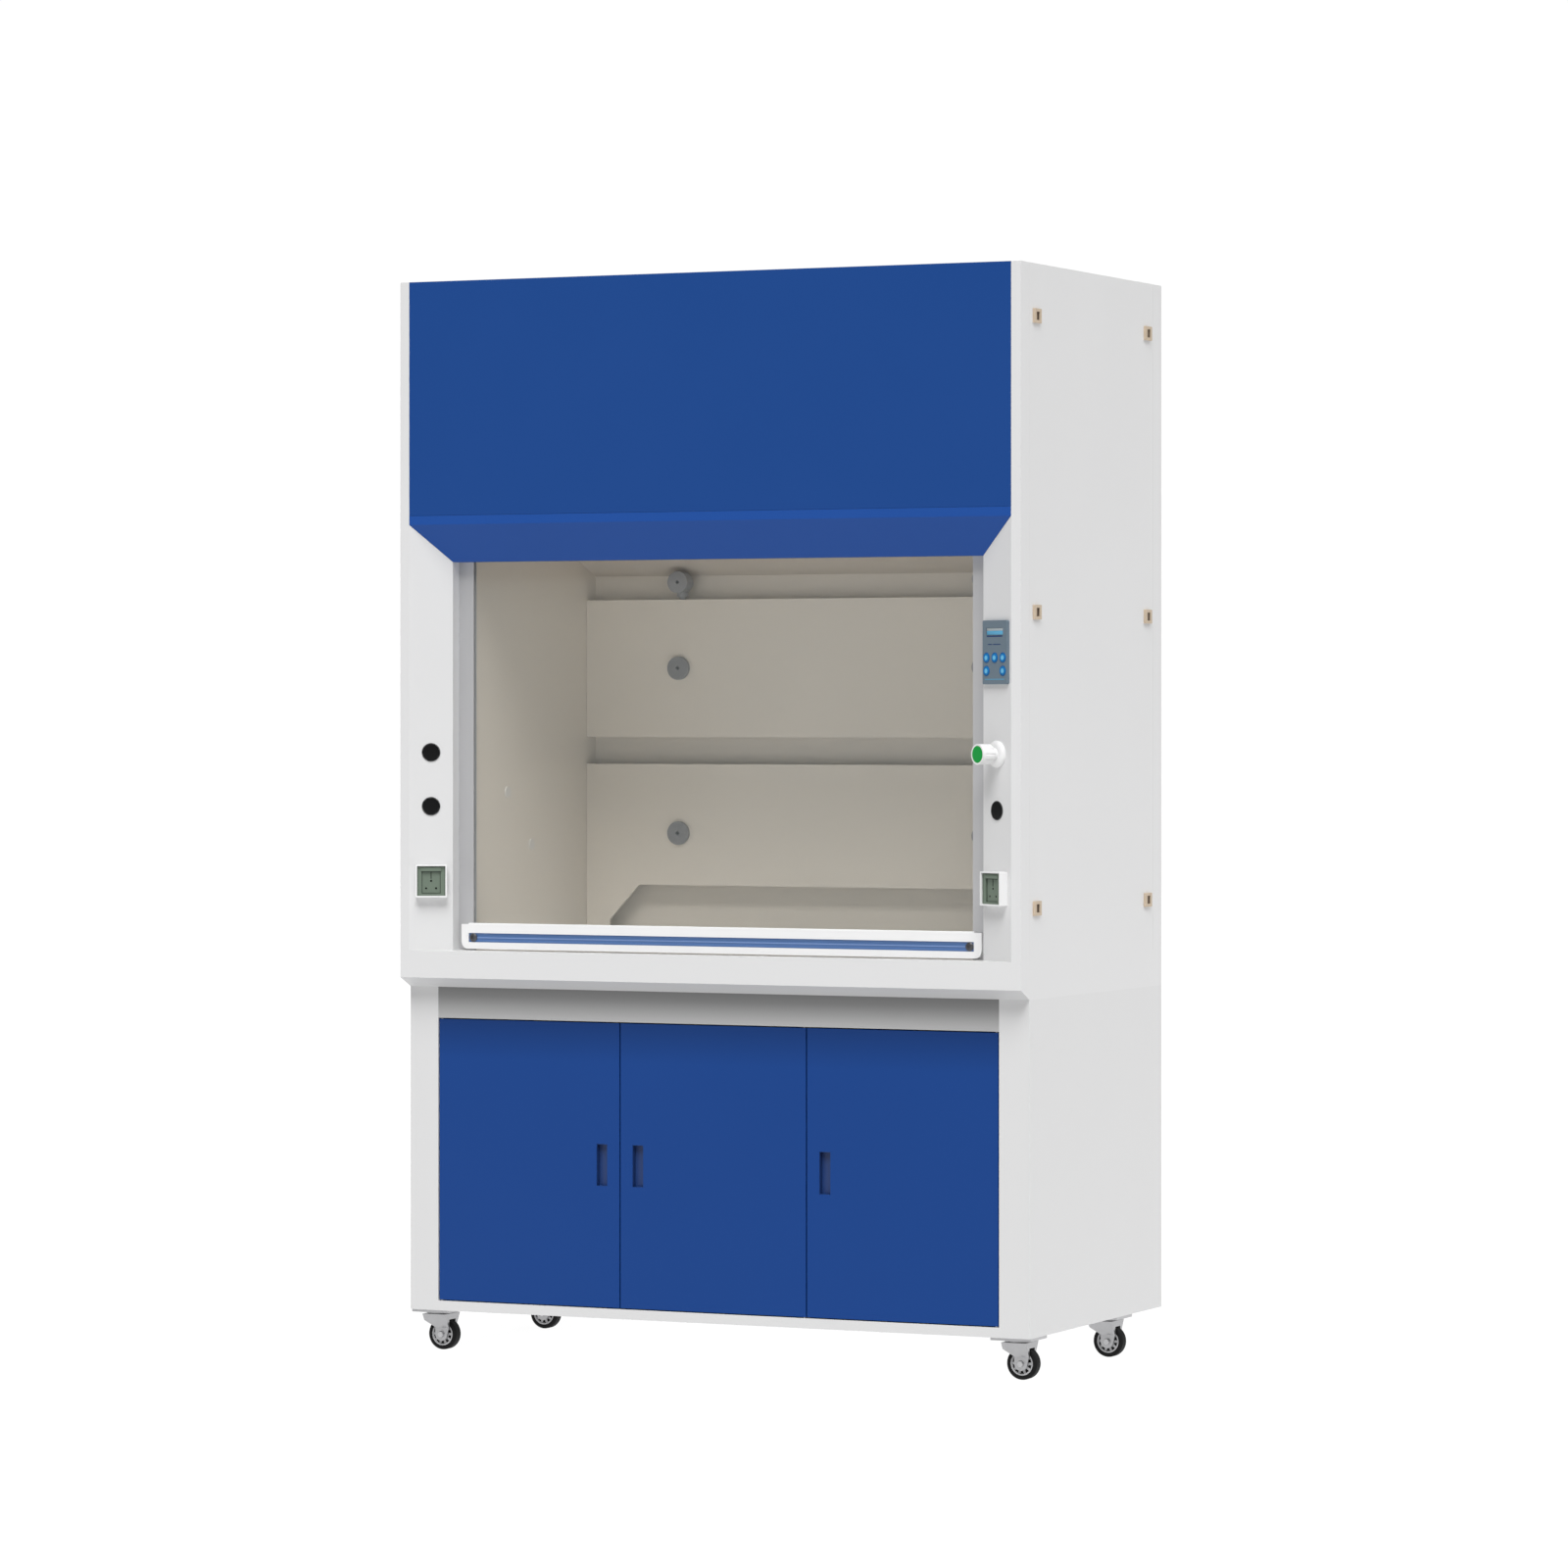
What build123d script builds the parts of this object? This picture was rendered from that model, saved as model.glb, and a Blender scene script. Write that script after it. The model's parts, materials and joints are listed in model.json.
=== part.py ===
from build123d import *
from math import atan, cos, degrees, hypot, pi, radians, sin, tan
import os

# Walk-up laboratory fume hood on a three-door base cabinet with casters.
# Millimetres, +Z up, front towards -Y, floor at z = 0, origin under the middle of the whole.

# Main sizes
WIDTH = 1500.0
DEPTH = 812.0
CABINET_HEIGHT = 722.0
WORKTOP_HEIGHT = 82.0
HOOD_HEIGHT = 1488.0
SHEET = 2.0
CLEARANCE = 0.5

# Front frame of the hood: edge strips, slanted posts and the sloping beak over the mouth
EDGE_STRIP = 22.5
SIDE_STRIP = 47.5
REAR_STRIP = 51.5
POST_RUN = 84.5
MOUTH_DEPTH = 48.0
MOUTH_HEIGHT = 865.0
BEAK_DROP = 82.5
BEAK_UPSTAND = 20.5
PANEL_DEPTH = 20.0
ACCESS_PANEL_DEPTH = 15.0
POST_RETURN = 14.0

# Openings and fittings on the slanted post faces, as levels above the worktop
PLUG_LEVEL = 321.0
UPPER_PLUG_LEVEL = 441.0
PLUG_RADIUS = 20.5
PLUG_NECK_RADIUS = 17.0
PLUG_NECK = 8.0
PLUG_PROUD = 1.5
SOCKET_LEVEL = 155.0
SOCKET_WIDTH = 70.0
SOCKET_HEIGHT = 73.0
SOCKET_DEPTH = 20.0
SOCKET_WALL = 3.5
SOCKET_RECESS = 5.0
SOCKET_CORNER = 1.75
SOCKET_WELL_WIDTH = 42.0
SOCKET_WELL_HEIGHT = 49.5
SOCKET_WELL_DEPTH = 3.5
SOCKET_PIN_RADIUS = 2.4
SOCKET_PIN_PITCH = 22.0
SOCKET_PIN_DROP = 16.5
SOCKET_PIN_DEPTH = 6.0
VALVE_ROSE_RADIUS = 29.0
VALVE_ROSE_DEPTH = 9.0
VALVE_ROSE_RIM = 3.0
VALVE_ROSE_SHOULDER = 24.94
VALVE_ROSE_CROWN = 7.65
VALVE_NECK_RADIUS = 14.0
VALVE_NECK_DEPTH = 11.0
VALVE_KNOB_RADIUS = 22.0
VALVE_KNOB_DEPTH = 33.0
VALVE_GAP = 0.5
VALVE_STEM_RADIUS = 5.0
VALVE_CAP_RADIUS = 18.2
VALVE_CAP_DEPTH = 2.0
VALVE_FLUTES = 12
VALVE_FLUTE_RADIUS = 2.2
VALVE_FLUTE_LENGTH = 24.75
PANEL_LEVEL = 658.0
PANEL_WIDTH = 85.0
PANEL_HEIGHT = 136.0
PANEL_THICK = 7.0
PANEL_CORNER = 3.5
PANEL_WINDOW_WIDTH = 58.0
PANEL_WINDOW_HEIGHT = 16.0
PANEL_WINDOW_RISE = 44.0
PANEL_WINDOW_DEPTH = 1.5
BUTTON_RADIUS = 9.0
BUTTON_CLEARANCE = 0.4
BUTTON_PROUD = 1.6
BUTTON_TRAVEL = 1.2
BUTTON_THICK = 5.0
BUTTON_EDGE = 0.8
BUTTON_WELL_GAP = 0.3
BUTTON_PITCH_X = 28.5
BUTTON_ROW_RISE = -11.5
BUTTON_ROW_PITCH = 28.0

# Base cabinet
CABINET_SETBACK = 47.5
FASCIA_FACE = 60.0
SLAB_THICK = 20.0
SLAB_LEDGE = 25.0
CABINET_POST = 70.5
CABINET_POST_DEPTH = 40.0
CABINET_RAIL = 22.0
CABINET_HEADER = 69.0
MULLION_WIDTH = 36.0
MULLION_DEPTH = 20.0
DOOR_GAP = 2.5
DOOR_THICK = 20.0
DOOR_STILE = 14.0
DOOR_CORNER = 1.5
HINGE_INSET = 5.0
HINGE_PIN_RADIUS = 2.5
HINGE_CLEARANCE = 0.05
HINGE_PIN_LENGTH = 12.0
PULL_WIDTH = 26.0
PULL_HEIGHT = 92.0
PULL_DEPTH = 15.0
PULL_INSET = 30.0
PULL_LEVEL = 337.5

# Casters
WHEEL_RADIUS = 35.0
WHEEL_WIDTH = 26.0
TYRE_THICK = 9.0
TYRE_ROUND = 3.0
HUB_RECESS = 3.0
HUB_HOLES = 10
HUB_HOLE_RADIUS = 2.3
HUB_HOLE_INSET = 6.22
AXLE_RADIUS = 4.0
AXLE_CLEARANCE = 0.08
AXLE_HEAD_RADIUS = 7.0
AXLE_HEAD = 2.5
FORK_SHEET = 3.0
FORK_SIDE_GAP = 1.5
FORK_CROWN_HALF = 36.0
FORK_BACK_REACH = 38.0
FORK_FRONT_REACH = 19.0
FORK_EAR_RADIUS = 15.0
FORK_CLEARANCE = 8.0
CASTER_TRAIL = 12.0
CASTER_PLATE = 94.0
CASTER_PLATE_THICK = 6.0
SWIVEL_RADIUS = 30.0
SWIVEL_THICK = 4.5
SWIVEL_GAP = 0.5
CASTER_FRONT_OFFSET = 52.0
CASTER_REAR_OFFSET = 222.0
PLATE_BOLT_RADIUS = 4.25
PLATE_BOLT_PITCH = 72.0

# Work chamber
TRACK_SETBACK = 77.0
TRACK_WIDTH = 39.0
TRACK_WALL = 3.0
TRACK_SLOT = 8.0
LINER = 6.0
LINER_STEP = 21.0
REAR_WALL_GAP = 104.0
PLENUM = 48.0
CEILING_REAR_LEVEL = 846.0
CEILING_PITCH = 21.8
BAFFLE_THICK = 6.0
UPPER_BAFFLE_BOTTOM = 473.0
UPPER_BAFFLE_TOP = 790.0
LOWER_BAFFLE_TOP = 411.0
NOTCH_MARGIN = 60.0
NOTCH_SLOPE = 76.0
NOTCH_KNEE = 50.0
NOTCH_TOP = 132.0
FIXING_INSET = 240.0
FIXING_LOW_LEVEL = 252.0
FIXING_HIGH_LEVEL = 632.0
FIXING_RADIUS = 27.0
FIXING_THICK = 9.0
FIXING_SOCKET = 8.0
FIXING_SOCKET_DEPTH = 5.0
FIXING_EDGE = 1.0
FIXING_SPACER_RADIUS = 12.0
FIXING_BOLT_RADIUS = 4.0
OUTLET_DROP = 16.0
OUTLET_RADIUS = 25.0
OUTLET_THICK = 34.0
OUTLET_NECK_RADIUS = 13.0
OUTLET_NECK = 34.0
OUTLET_PIPE_RADIUS = 8.0
OUTLET_PIPE = 70.0
WALL_PORT_RADIUS = 12.5
WALL_PORT_PROUD = 2.0
WALL_PORT_NECK_RADIUS = 9.0
WALL_PORT_SETBACK = 268.0
WALL_PORT_LEVEL = 350.0
WALL_PORT_STEP = 117.0
WALL_PORT_DROP = 120.0
LAMP_Y = 60.0
LAMP_WIDTH = 110.0
LAMP_MARGIN = 312.0
LAMP_HEIGHT = 60.0
LAMP_GLASS = 5.0
LAMP_LEDGE = 12.0
LAMP_TAPER = 12.0

# Exhaust
DUCT_RADIUS = 125.0
DUCT_WALL = 3.0
DUCT_SETBACK = 440.0
DUCT_PROUD = 18.0
DUCT_FLANGE = 22.0
DUCT_FLANGE_THICK = 3.0

# Sash and its counterbalance
GLASS_THICK = 5.0
GLASS_EDGE = 6.0
SASH_TRAVEL = 480.0
SASH_OVERLAP = 45.0
HANDLE_GAP = 3.0
HANDLE_HEIGHT = 58.0
HANDLE_PROUD = 11.0
HANDLE_TRACK_GAP = 0.8
HANDLE_MARGIN = 12.0
HANDLE_CAP = 18.0
HANDLE_CAP_ROUND = 17.0
HANDLE_EDGE_ROUND = 3.0
HANDLE_GROOVE_BOTTOM = 15.0
HANDLE_GROOVE_HEIGHT = 20.5
HANDLE_GROOVE_DEPTH = 6.5
HANDLE_CLAMP_WALL = 3.0
HANDLE_CLAMP_HEIGHT = 40.0
INSERT_RIBS = 3
INSERT_RIB_WIDTH = 2.4
INSERT_RIB_PROUD = 1.2
INSERT_BASE = 2.5
TOP_RAIL_HEIGHT = 22.0
TOP_RAIL_WALL = 3.0
CABLE_INSET = 83.0
CABLE_RADIUS = 1.5
CABLE_CLEARANCE = 0.3
CABLE_END_GAP = 0.3
PULLEY_RADIUS = 22.0
PULLEY_FLANGE = 5.0
PULLEY_WIDTH = 12.0
PULLEY_DROP = 50.0
SHAFT_RADIUS = 5.0
SHAFT_CLEARANCE = 0.06
SHAFT_TAIL = 6.0
BRACKET_THICK = 4.0
BRACKET_WIDTH = 30.0
BRACKET_GAP = 1.5
WEIGHT_MARGIN = 22.0
WEIGHT_THICK = 36.0
WEIGHT_HEIGHT = 52.0
WEIGHT_DROP = 60.0

# Latches on the side access panels
LATCH_LENGTH = 38.0
LATCH_HEIGHT = 31.0
LATCH_THICK = 5.0
LATCH_CORNER = 1.0
LATCH_WINDOW_LENGTH = 18.0
LATCH_WINDOW_HEIGHT = 18.0
LATCH_WINDOW_DEPTH = 3.0
LATCH_INSET = 36.0
LATCH_LEVEL = 112.0

# Places worked out from the sizes
HALF = WIDTH / 2
FORK_TOP = WHEEL_RADIUS + WHEEL_RADIUS + FORK_CLEARANCE + FORK_SHEET
PLATE_Z = FORK_TOP + SWIVEL_GAP + SWIVEL_THICK
CABINET_Z = PLATE_Z + CASTER_PLATE_THICK
WORKTOP_Z = CABINET_Z + CABINET_HEIGHT
HOOD_Z = WORKTOP_Z + WORKTOP_HEIGHT
TOP_Z = HOOD_Z + HOOD_HEIGHT
LIP_Z = HOOD_Z + MOUTH_HEIGHT
BEND_Z = LIP_Z + BEAK_DROP
SEAM_Z = BEND_Z + BEAK_UPSTAND

STRIP_X = HALF - EDGE_STRIP
MOUTH_X = STRIP_X - POST_RUN
LINER_X = MOUTH_X - LINER_STEP
NOTCH_HALF_FOOT = LINER_X - NOTCH_MARGIN
NOTCH_HALF_TOP = NOTCH_HALF_FOOT - NOTCH_SLOPE
FIXING_X = LINER_X - FIXING_INSET
HANDLE_HALF = MOUTH_X - HANDLE_MARGIN
CABLE_X = MOUTH_X - CABLE_INSET
WEIGHT_HALF_LENGTH = LINER_X - WEIGHT_MARGIN
LAMP_LENGTH = (LINER_X - LAMP_MARGIN) * 2
POST_FACE = hypot(POST_RUN, MOUTH_DEPTH)
VALVE_REACH = VALVE_ROSE_DEPTH + VALVE_NECK_DEPTH + VALVE_KNOB_DEPTH
FRONT_REACH = (VALVE_REACH * POST_RUN + VALVE_KNOB_RADIUS * MOUTH_DEPTH) / POST_FACE - MOUTH_DEPTH / 2

BACK_Y = (DEPTH + FRONT_REACH) / 2
FRONT_Y = BACK_Y - DEPTH
MOUTH_Y = FRONT_Y + MOUTH_DEPTH
TRACK_Y = FRONT_Y + TRACK_SETBACK
TRACK_DEPTH = TRACK_WALL * 2 + TRACK_SLOT
LINER_Y = TRACK_Y + TRACK_DEPTH
GLASS_Y = TRACK_Y + TRACK_WALL + (TRACK_SLOT - GLASS_THICK) / 2
GLASS_MID_Y = GLASS_Y + GLASS_THICK / 2
REAR_WALL_Y = BACK_Y - REAR_WALL_GAP
BAFFLE_Y = REAR_WALL_Y - PLENUM
CABINET_Y = FRONT_Y + CABINET_SETBACK
LINER_DEPTH = REAR_WALL_Y - LINER_Y
CEILING_Z = HOOD_Z + CEILING_REAR_LEVEL
CEILING_RISE = LINER_DEPTH * tan(radians(CEILING_PITCH))
DUCT_Y = FRONT_Y + DUCT_SETBACK
FLOOR_BACK = BACK_Y - SHEET * 2

parts = {}


def folded(points, thickness):
    """Face of a folded sheet: its outer line, made solid on the left of the way it runs."""
    with BuildSketch(Plane.XY) as flat:
        with BuildLine():
            Polyline(*points)
            offset(amount=thickness, side=Side.LEFT, kind=Kind.INTERSECTION)
        make_face()
    add(flat.sketch_local)


def level(height):
    """Horizontal plane at a height above the floor."""
    return Plane.XY.offset(height)


def side_plane(x):
    """Upright plane at x, drawn with y across and z up."""
    return Plane(origin=(x, 0, 0), x_dir=(0, 1, 0), z_dir=(1, 0, 0))


def front_plane(y):
    """Upright plane at y, seen from the front, drawn with x across and z up."""
    return Plane(origin=(0, y, 0), x_dir=(1, 0, 0), z_dir=(0, -1, 0))


def post_plane(side, height):
    """Plane on the slanted face of a front post, at a level above the worktop."""
    return Plane(
        origin=(side * (STRIP_X + MOUTH_X) / 2, FRONT_Y + MOUTH_DEPTH / 2, HOOD_Z + height),
        x_dir=(POST_RUN, -side * MOUTH_DEPTH, 0),
        z_dir=(-side * MOUTH_DEPTH, -POST_RUN, 0),
    )


def mirrored(piece):
    """The same piece for the other side of the hood."""
    with BuildPart() as twin:
        mirror(piece.part, about=Plane.YZ)
    return twin


# Base cabinet: folded sides with front posts, back, floor tray, header with mullion
with BuildPart() as cabinet_right_side:
    with BuildSketch(level(CABINET_Z)):
        folded(
            [
                (HALF - CABINET_POST, CABINET_Y + CABINET_POST_DEPTH),
                (HALF - CABINET_POST, CABINET_Y),
                (HALF, CABINET_Y),
                (HALF, BACK_Y),
                (HALF - CABINET_POST_DEPTH, BACK_Y),
            ],
            SHEET,
        )
    extrude(amount=CABINET_HEIGHT)
    with BuildSketch(level(CABINET_Z)):
        with Locations((HALF, CABINET_Y)):
            Rectangle(CABINET_POST, FLOOR_BACK - CABINET_Y, align=(Align.MAX, Align.MIN))
    extrude(amount=SHEET)
parts["cabinet_right_side"] = cabinet_right_side
parts["cabinet_left_side"] = mirrored(cabinet_right_side)

CABINET_INNER = HALF - SHEET
with BuildPart() as cabinet_back:
    with BuildSketch(level(CABINET_Z)):
        with Locations((0, BACK_Y - SHEET * 1.5)):
            Rectangle(CABINET_INNER * 2, SHEET)
    extrude(amount=CABINET_HEIGHT)
parts["cabinet_back"] = cabinet_back

RAIL_X = HALF - CABINET_POST
RAIL_TOP = CABINET_Z + CABINET_RAIL
HEADER_Z = WORKTOP_Z - CABINET_HEADER
DOOR_BACK_Y = CABINET_Y + DOOR_THICK
DOOR_BOTTOM = RAIL_TOP + DOOR_GAP
DOOR_TOP = HEADER_Z - DOOR_GAP
DOOR_WIDTH = (RAIL_X * 2 - DOOR_GAP * 4) / 3
PIN_Y = CABINET_Y + HINGE_INSET
PIN_XS = [
    -RAIL_X + DOOR_GAP + HINGE_INSET,
    RAIL_X - DOOR_GAP * 2 - DOOR_WIDTH - HINGE_INSET,
    RAIL_X - DOOR_GAP - HINGE_INSET,
]
PIN_REACH = DOOR_GAP + HINGE_PIN_LENGTH

with BuildPart() as cabinet_floor:
    with BuildSketch(side_plane(-RAIL_X)):
        folded(
            [
                (FLOOR_BACK, CABINET_Z),
                (FLOOR_BACK, RAIL_TOP),
                (CABINET_Y, RAIL_TOP),
                (CABINET_Y, CABINET_Z),
                (CABINET_Y + CABINET_POST_DEPTH, CABINET_Z),
            ],
            SHEET,
        )
    extrude(amount=RAIL_X * 2)
    with BuildSketch(level(RAIL_TOP)):
        with Locations(*[(x, PIN_Y) for x in PIN_XS]):
            Circle(HINGE_PIN_RADIUS)
    extrude(amount=PIN_REACH)
parts["cabinet_floor"] = cabinet_floor

MULLION_X = RAIL_X - DOOR_GAP * 1.5 - DOOR_WIDTH
MULLION_Y = DOOR_BACK_Y + DOOR_GAP
MULLION_EDGE = (MULLION_WIDTH - SHEET) / 2
with BuildPart() as cabinet_header:
    with BuildSketch(side_plane(-RAIL_X)):
        folded(
            [
                (CABINET_Y + CABINET_POST_DEPTH, WORKTOP_Z),
                (CABINET_Y, WORKTOP_Z),
                (CABINET_Y, HEADER_Z),
                (CABINET_Y + CABINET_POST_DEPTH, HEADER_Z),
            ],
            SHEET,
        )
    extrude(amount=RAIL_X * 2)
    with BuildSketch(level(RAIL_TOP)):
        with Locations((MULLION_X, MULLION_Y)):
            Rectangle(MULLION_WIDTH, SHEET, align=(Align.CENTER, Align.MIN))
        with Locations((MULLION_X - MULLION_EDGE, MULLION_Y), (MULLION_X + MULLION_EDGE, MULLION_Y)):
            Rectangle(SHEET, MULLION_DEPTH, align=(Align.CENTER, Align.MIN))
    extrude(amount=HEADER_Z + SHEET - RAIL_TOP)
    with BuildSketch(level(HEADER_Z)):
        with Locations(*[(x, PIN_Y) for x in PIN_XS]):
            Circle(HINGE_PIN_RADIUS)
    extrude(amount=-PIN_REACH)
parts["cabinet_header"] = cabinet_header


def door(left_x, hinge):
    """Folded door with a solid hinge stile, pivot holes and a recessed pull; hinge is -1 left, 1 right."""
    right_x = left_x + DOOR_WIDTH
    middle_x = (left_x + right_x) / 2
    middle_z = (DOOR_BOTTOM + DOOR_TOP) / 2
    height = DOOR_TOP - DOOR_BOTTOM
    hinge_x = middle_x + hinge * (DOOR_WIDTH / 2 - HINGE_INSET)
    pull_x = middle_x - hinge * (DOOR_WIDTH / 2 - PULL_INSET - PULL_WIDTH / 2)
    pocket_left = left_x + (DOOR_STILE if hinge < 0 else SHEET)
    pocket_right = right_x - (DOOR_STILE if hinge > 0 else SHEET)
    with BuildPart() as leaf:
        with BuildSketch(front_plane(CABINET_Y)):
            with Locations((middle_x, middle_z)):
                Rectangle(DOOR_WIDTH, height)
        extrude(amount=-DOOR_THICK)
        fillet(leaf.edges().filter_by(Axis.Z), DOOR_CORNER)
        with BuildSketch(front_plane(DOOR_BACK_Y)):
            with Locations(((pocket_left + pocket_right) / 2, middle_z)):
                Rectangle(pocket_right - pocket_left, height - SHEET * 2)
        extrude(amount=DOOR_THICK - SHEET, mode=Mode.SUBTRACT)
        with BuildSketch(front_plane(CABINET_Y + SHEET)):
            with Locations((pull_x, CABINET_Z + PULL_LEVEL)):
                Rectangle(PULL_WIDTH + SHEET * 2, PULL_HEIGHT + SHEET * 2)
        extrude(amount=-PULL_DEPTH)
        with BuildSketch(front_plane(CABINET_Y)):
            with Locations((pull_x, CABINET_Z + PULL_LEVEL)):
                Rectangle(PULL_WIDTH, PULL_HEIGHT)
        extrude(amount=-PULL_DEPTH, mode=Mode.SUBTRACT)
        with BuildSketch(level(DOOR_BOTTOM)):
            with Locations((hinge_x, PIN_Y)):
                Circle(HINGE_PIN_RADIUS + HINGE_CLEARANCE)
        extrude(amount=HINGE_PIN_LENGTH + CLEARANCE, mode=Mode.SUBTRACT)
        with BuildSketch(level(DOOR_TOP)):
            with Locations((hinge_x, PIN_Y)):
                Circle(HINGE_PIN_RADIUS + HINGE_CLEARANCE)
        extrude(amount=-HINGE_PIN_LENGTH - CLEARANCE, mode=Mode.SUBTRACT)
    return leaf


DOOR_STEP = DOOR_WIDTH + DOOR_GAP
parts["left_door"] = door(-RAIL_X + DOOR_GAP, -1)
parts["middle_door"] = door(-RAIL_X + DOOR_GAP + DOOR_STEP, 1)
parts["right_door"] = door(-RAIL_X + DOOR_GAP + DOOR_STEP * 2, 1)

# Worktop: a fascia box with a bevelled front, and the slab let into it
FASCIA_BEND = HOOD_Z - FASCIA_FACE
with BuildPart() as worktop_frame:
    with BuildSketch(side_plane(-HALF)):
        Polygon(
            (FRONT_Y, HOOD_Z),
            (FRONT_Y, FASCIA_BEND),
            (CABINET_Y, WORKTOP_Z),
            (BACK_Y, WORKTOP_Z),
            (BACK_Y, HOOD_Z),
            align=None,
        )
    extrude(amount=WIDTH)
    with BuildSketch(side_plane(-HALF + SHEET)):
        Polygon(
            (FRONT_Y + SHEET, HOOD_Z),
            (FRONT_Y + SHEET, FASCIA_BEND + SHEET),
            (CABINET_Y + SHEET, WORKTOP_Z + SHEET),
            (BACK_Y - SHEET, WORKTOP_Z + SHEET),
            (BACK_Y - SHEET, HOOD_Z),
            align=None,
        )
    extrude(amount=WIDTH - SHEET * 2, mode=Mode.SUBTRACT)
    with BuildSketch(level(WORKTOP_Z)):
        with Locations((0, (CABINET_Y + BACK_Y) / 2)):
            Rectangle(WIDTH - SLAB_LEDGE * 4, BACK_Y - CABINET_Y - SLAB_LEDGE * 4)
    extrude(amount=SHEET, mode=Mode.SUBTRACT)
parts["worktop_frame"] = worktop_frame

SLAB_BACK = BACK_Y - SHEET - CLEARANCE
SLAB_FRONT = FRONT_Y + SHEET + CLEARANCE
SLAB_HALF = HALF - SHEET - CLEARANCE
with BuildPart() as worktop_slab:
    with BuildSketch(level(HOOD_Z - SLAB_THICK)):
        with Locations((0, (SLAB_FRONT + SLAB_BACK) / 2)):
            Rectangle(SLAB_HALF * 2, SLAB_BACK - SLAB_FRONT)
    extrude(amount=SLAB_THICK)
    with BuildSketch(level(WORKTOP_Z + SHEET)):
        with Locations((-HALF / 2, 0), (0, 0), (HALF / 2, 0)):
            Rectangle(SLAB_LEDGE, BACK_Y - CABINET_Y - SLAB_LEDGE * 4)
        with Locations((0, CABINET_Y + SLAB_LEDGE * 2), (0, BACK_Y - SLAB_LEDGE * 2)):
            Rectangle(WIDTH - SLAB_LEDGE * 3, SLAB_LEDGE)
    extrude(amount=WORKTOP_HEIGHT - SHEET - SLAB_THICK)
parts["worktop_slab"] = worktop_slab

# Front posts: a full-height corner strip and, under the beak, the slanted face with its return
with BuildPart() as right_front_post:
    with BuildSketch(level(HOOD_Z)):
        folded(
            [
                (STRIP_X, FRONT_Y + POST_RETURN),
                (STRIP_X, FRONT_Y),
                (HALF, FRONT_Y),
                (HALF, FRONT_Y + SIDE_STRIP),
                (HALF - POST_RETURN, FRONT_Y + SIDE_STRIP),
            ],
            SHEET,
        )
    extrude(amount=HOOD_HEIGHT)
    with BuildSketch(level(HOOD_Z)):
        folded([(MOUTH_X, TRACK_Y), (MOUTH_X, MOUTH_Y), (STRIP_X, FRONT_Y)], SHEET)
    extrude(amount=BEND_Z - HOOD_Z)
    with BuildSketch(side_plane(0)):
        Polygon(
            (FRONT_Y, BEND_Z),
            (MOUTH_Y, LIP_Z),
            (TRACK_Y, LIP_Z),
            (TRACK_Y, BEND_Z),
            align=None,
        )
    extrude(amount=STRIP_X, mode=Mode.SUBTRACT)
    with BuildSketch(post_plane(1, PLUG_LEVEL)):
        Circle(PLUG_NECK_RADIUS + CLEARANCE)
    extrude(amount=-SHEET * 2, mode=Mode.SUBTRACT)
    with BuildSketch(post_plane(1, UPPER_PLUG_LEVEL)):
        Circle(VALVE_NECK_RADIUS)
    extrude(amount=-SHEET * 2, mode=Mode.SUBTRACT)
parts["right_front_post"] = right_front_post

with BuildPart() as left_front_post:
    mirror(right_front_post.part, about=Plane.YZ)
    with BuildSketch(post_plane(-1, UPPER_PLUG_LEVEL)):
        Circle(PLUG_NECK_RADIUS + CLEARANCE)
    extrude(amount=-SHEET * 2, mode=Mode.SUBTRACT)
parts["left_front_post"] = left_front_post

# Side access panels: shallow pans between the front strip and the rear strip
ACCESS_FRONT = FRONT_Y + SIDE_STRIP + CLEARANCE
ACCESS_BACK = BACK_Y - REAR_STRIP - CLEARANCE
with BuildPart() as access_panels:
    with BuildSketch(side_plane(HALF)):
        with Locations(((ACCESS_FRONT + ACCESS_BACK) / 2, HOOD_Z + HOOD_HEIGHT / 2)):
            Rectangle(ACCESS_BACK - ACCESS_FRONT, HOOD_HEIGHT)
    extrude(amount=-ACCESS_PANEL_DEPTH)
    with BuildSketch(side_plane(HALF - SHEET)):
        with Locations(((ACCESS_FRONT + ACCESS_BACK) / 2, HOOD_Z + HOOD_HEIGHT / 2)):
            Rectangle(ACCESS_BACK - ACCESS_FRONT - SHEET * 2, HOOD_HEIGHT - SHEET * 2)
    extrude(amount=-ACCESS_PANEL_DEPTH, mode=Mode.SUBTRACT)
    mirror(about=Plane.YZ)
parts["access_panels"] = access_panels

# Square latches that hold the access panels
LATCH_PLACES = [
    (y, HOOD_Z + z)
    for y in (ACCESS_FRONT + LATCH_INSET, ACCESS_BACK - LATCH_INSET)
    for z in (LATCH_LEVEL, HOOD_HEIGHT / 2, HOOD_HEIGHT - LATCH_LEVEL)
]
with BuildPart() as panel_latches:
    with BuildSketch(side_plane(HALF)):
        with Locations(*LATCH_PLACES):
            RectangleRounded(LATCH_LENGTH, LATCH_HEIGHT, LATCH_CORNER)
    extrude(amount=LATCH_THICK)
    with BuildSketch(side_plane(HALF + LATCH_THICK)):
        with Locations(*LATCH_PLACES):
            Rectangle(LATCH_WINDOW_LENGTH, LATCH_WINDOW_HEIGHT)
    extrude(amount=-LATCH_WINDOW_DEPTH, mode=Mode.SUBTRACT)
    mirror(about=Plane.YZ)
parts["panel_latches"] = panel_latches

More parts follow.
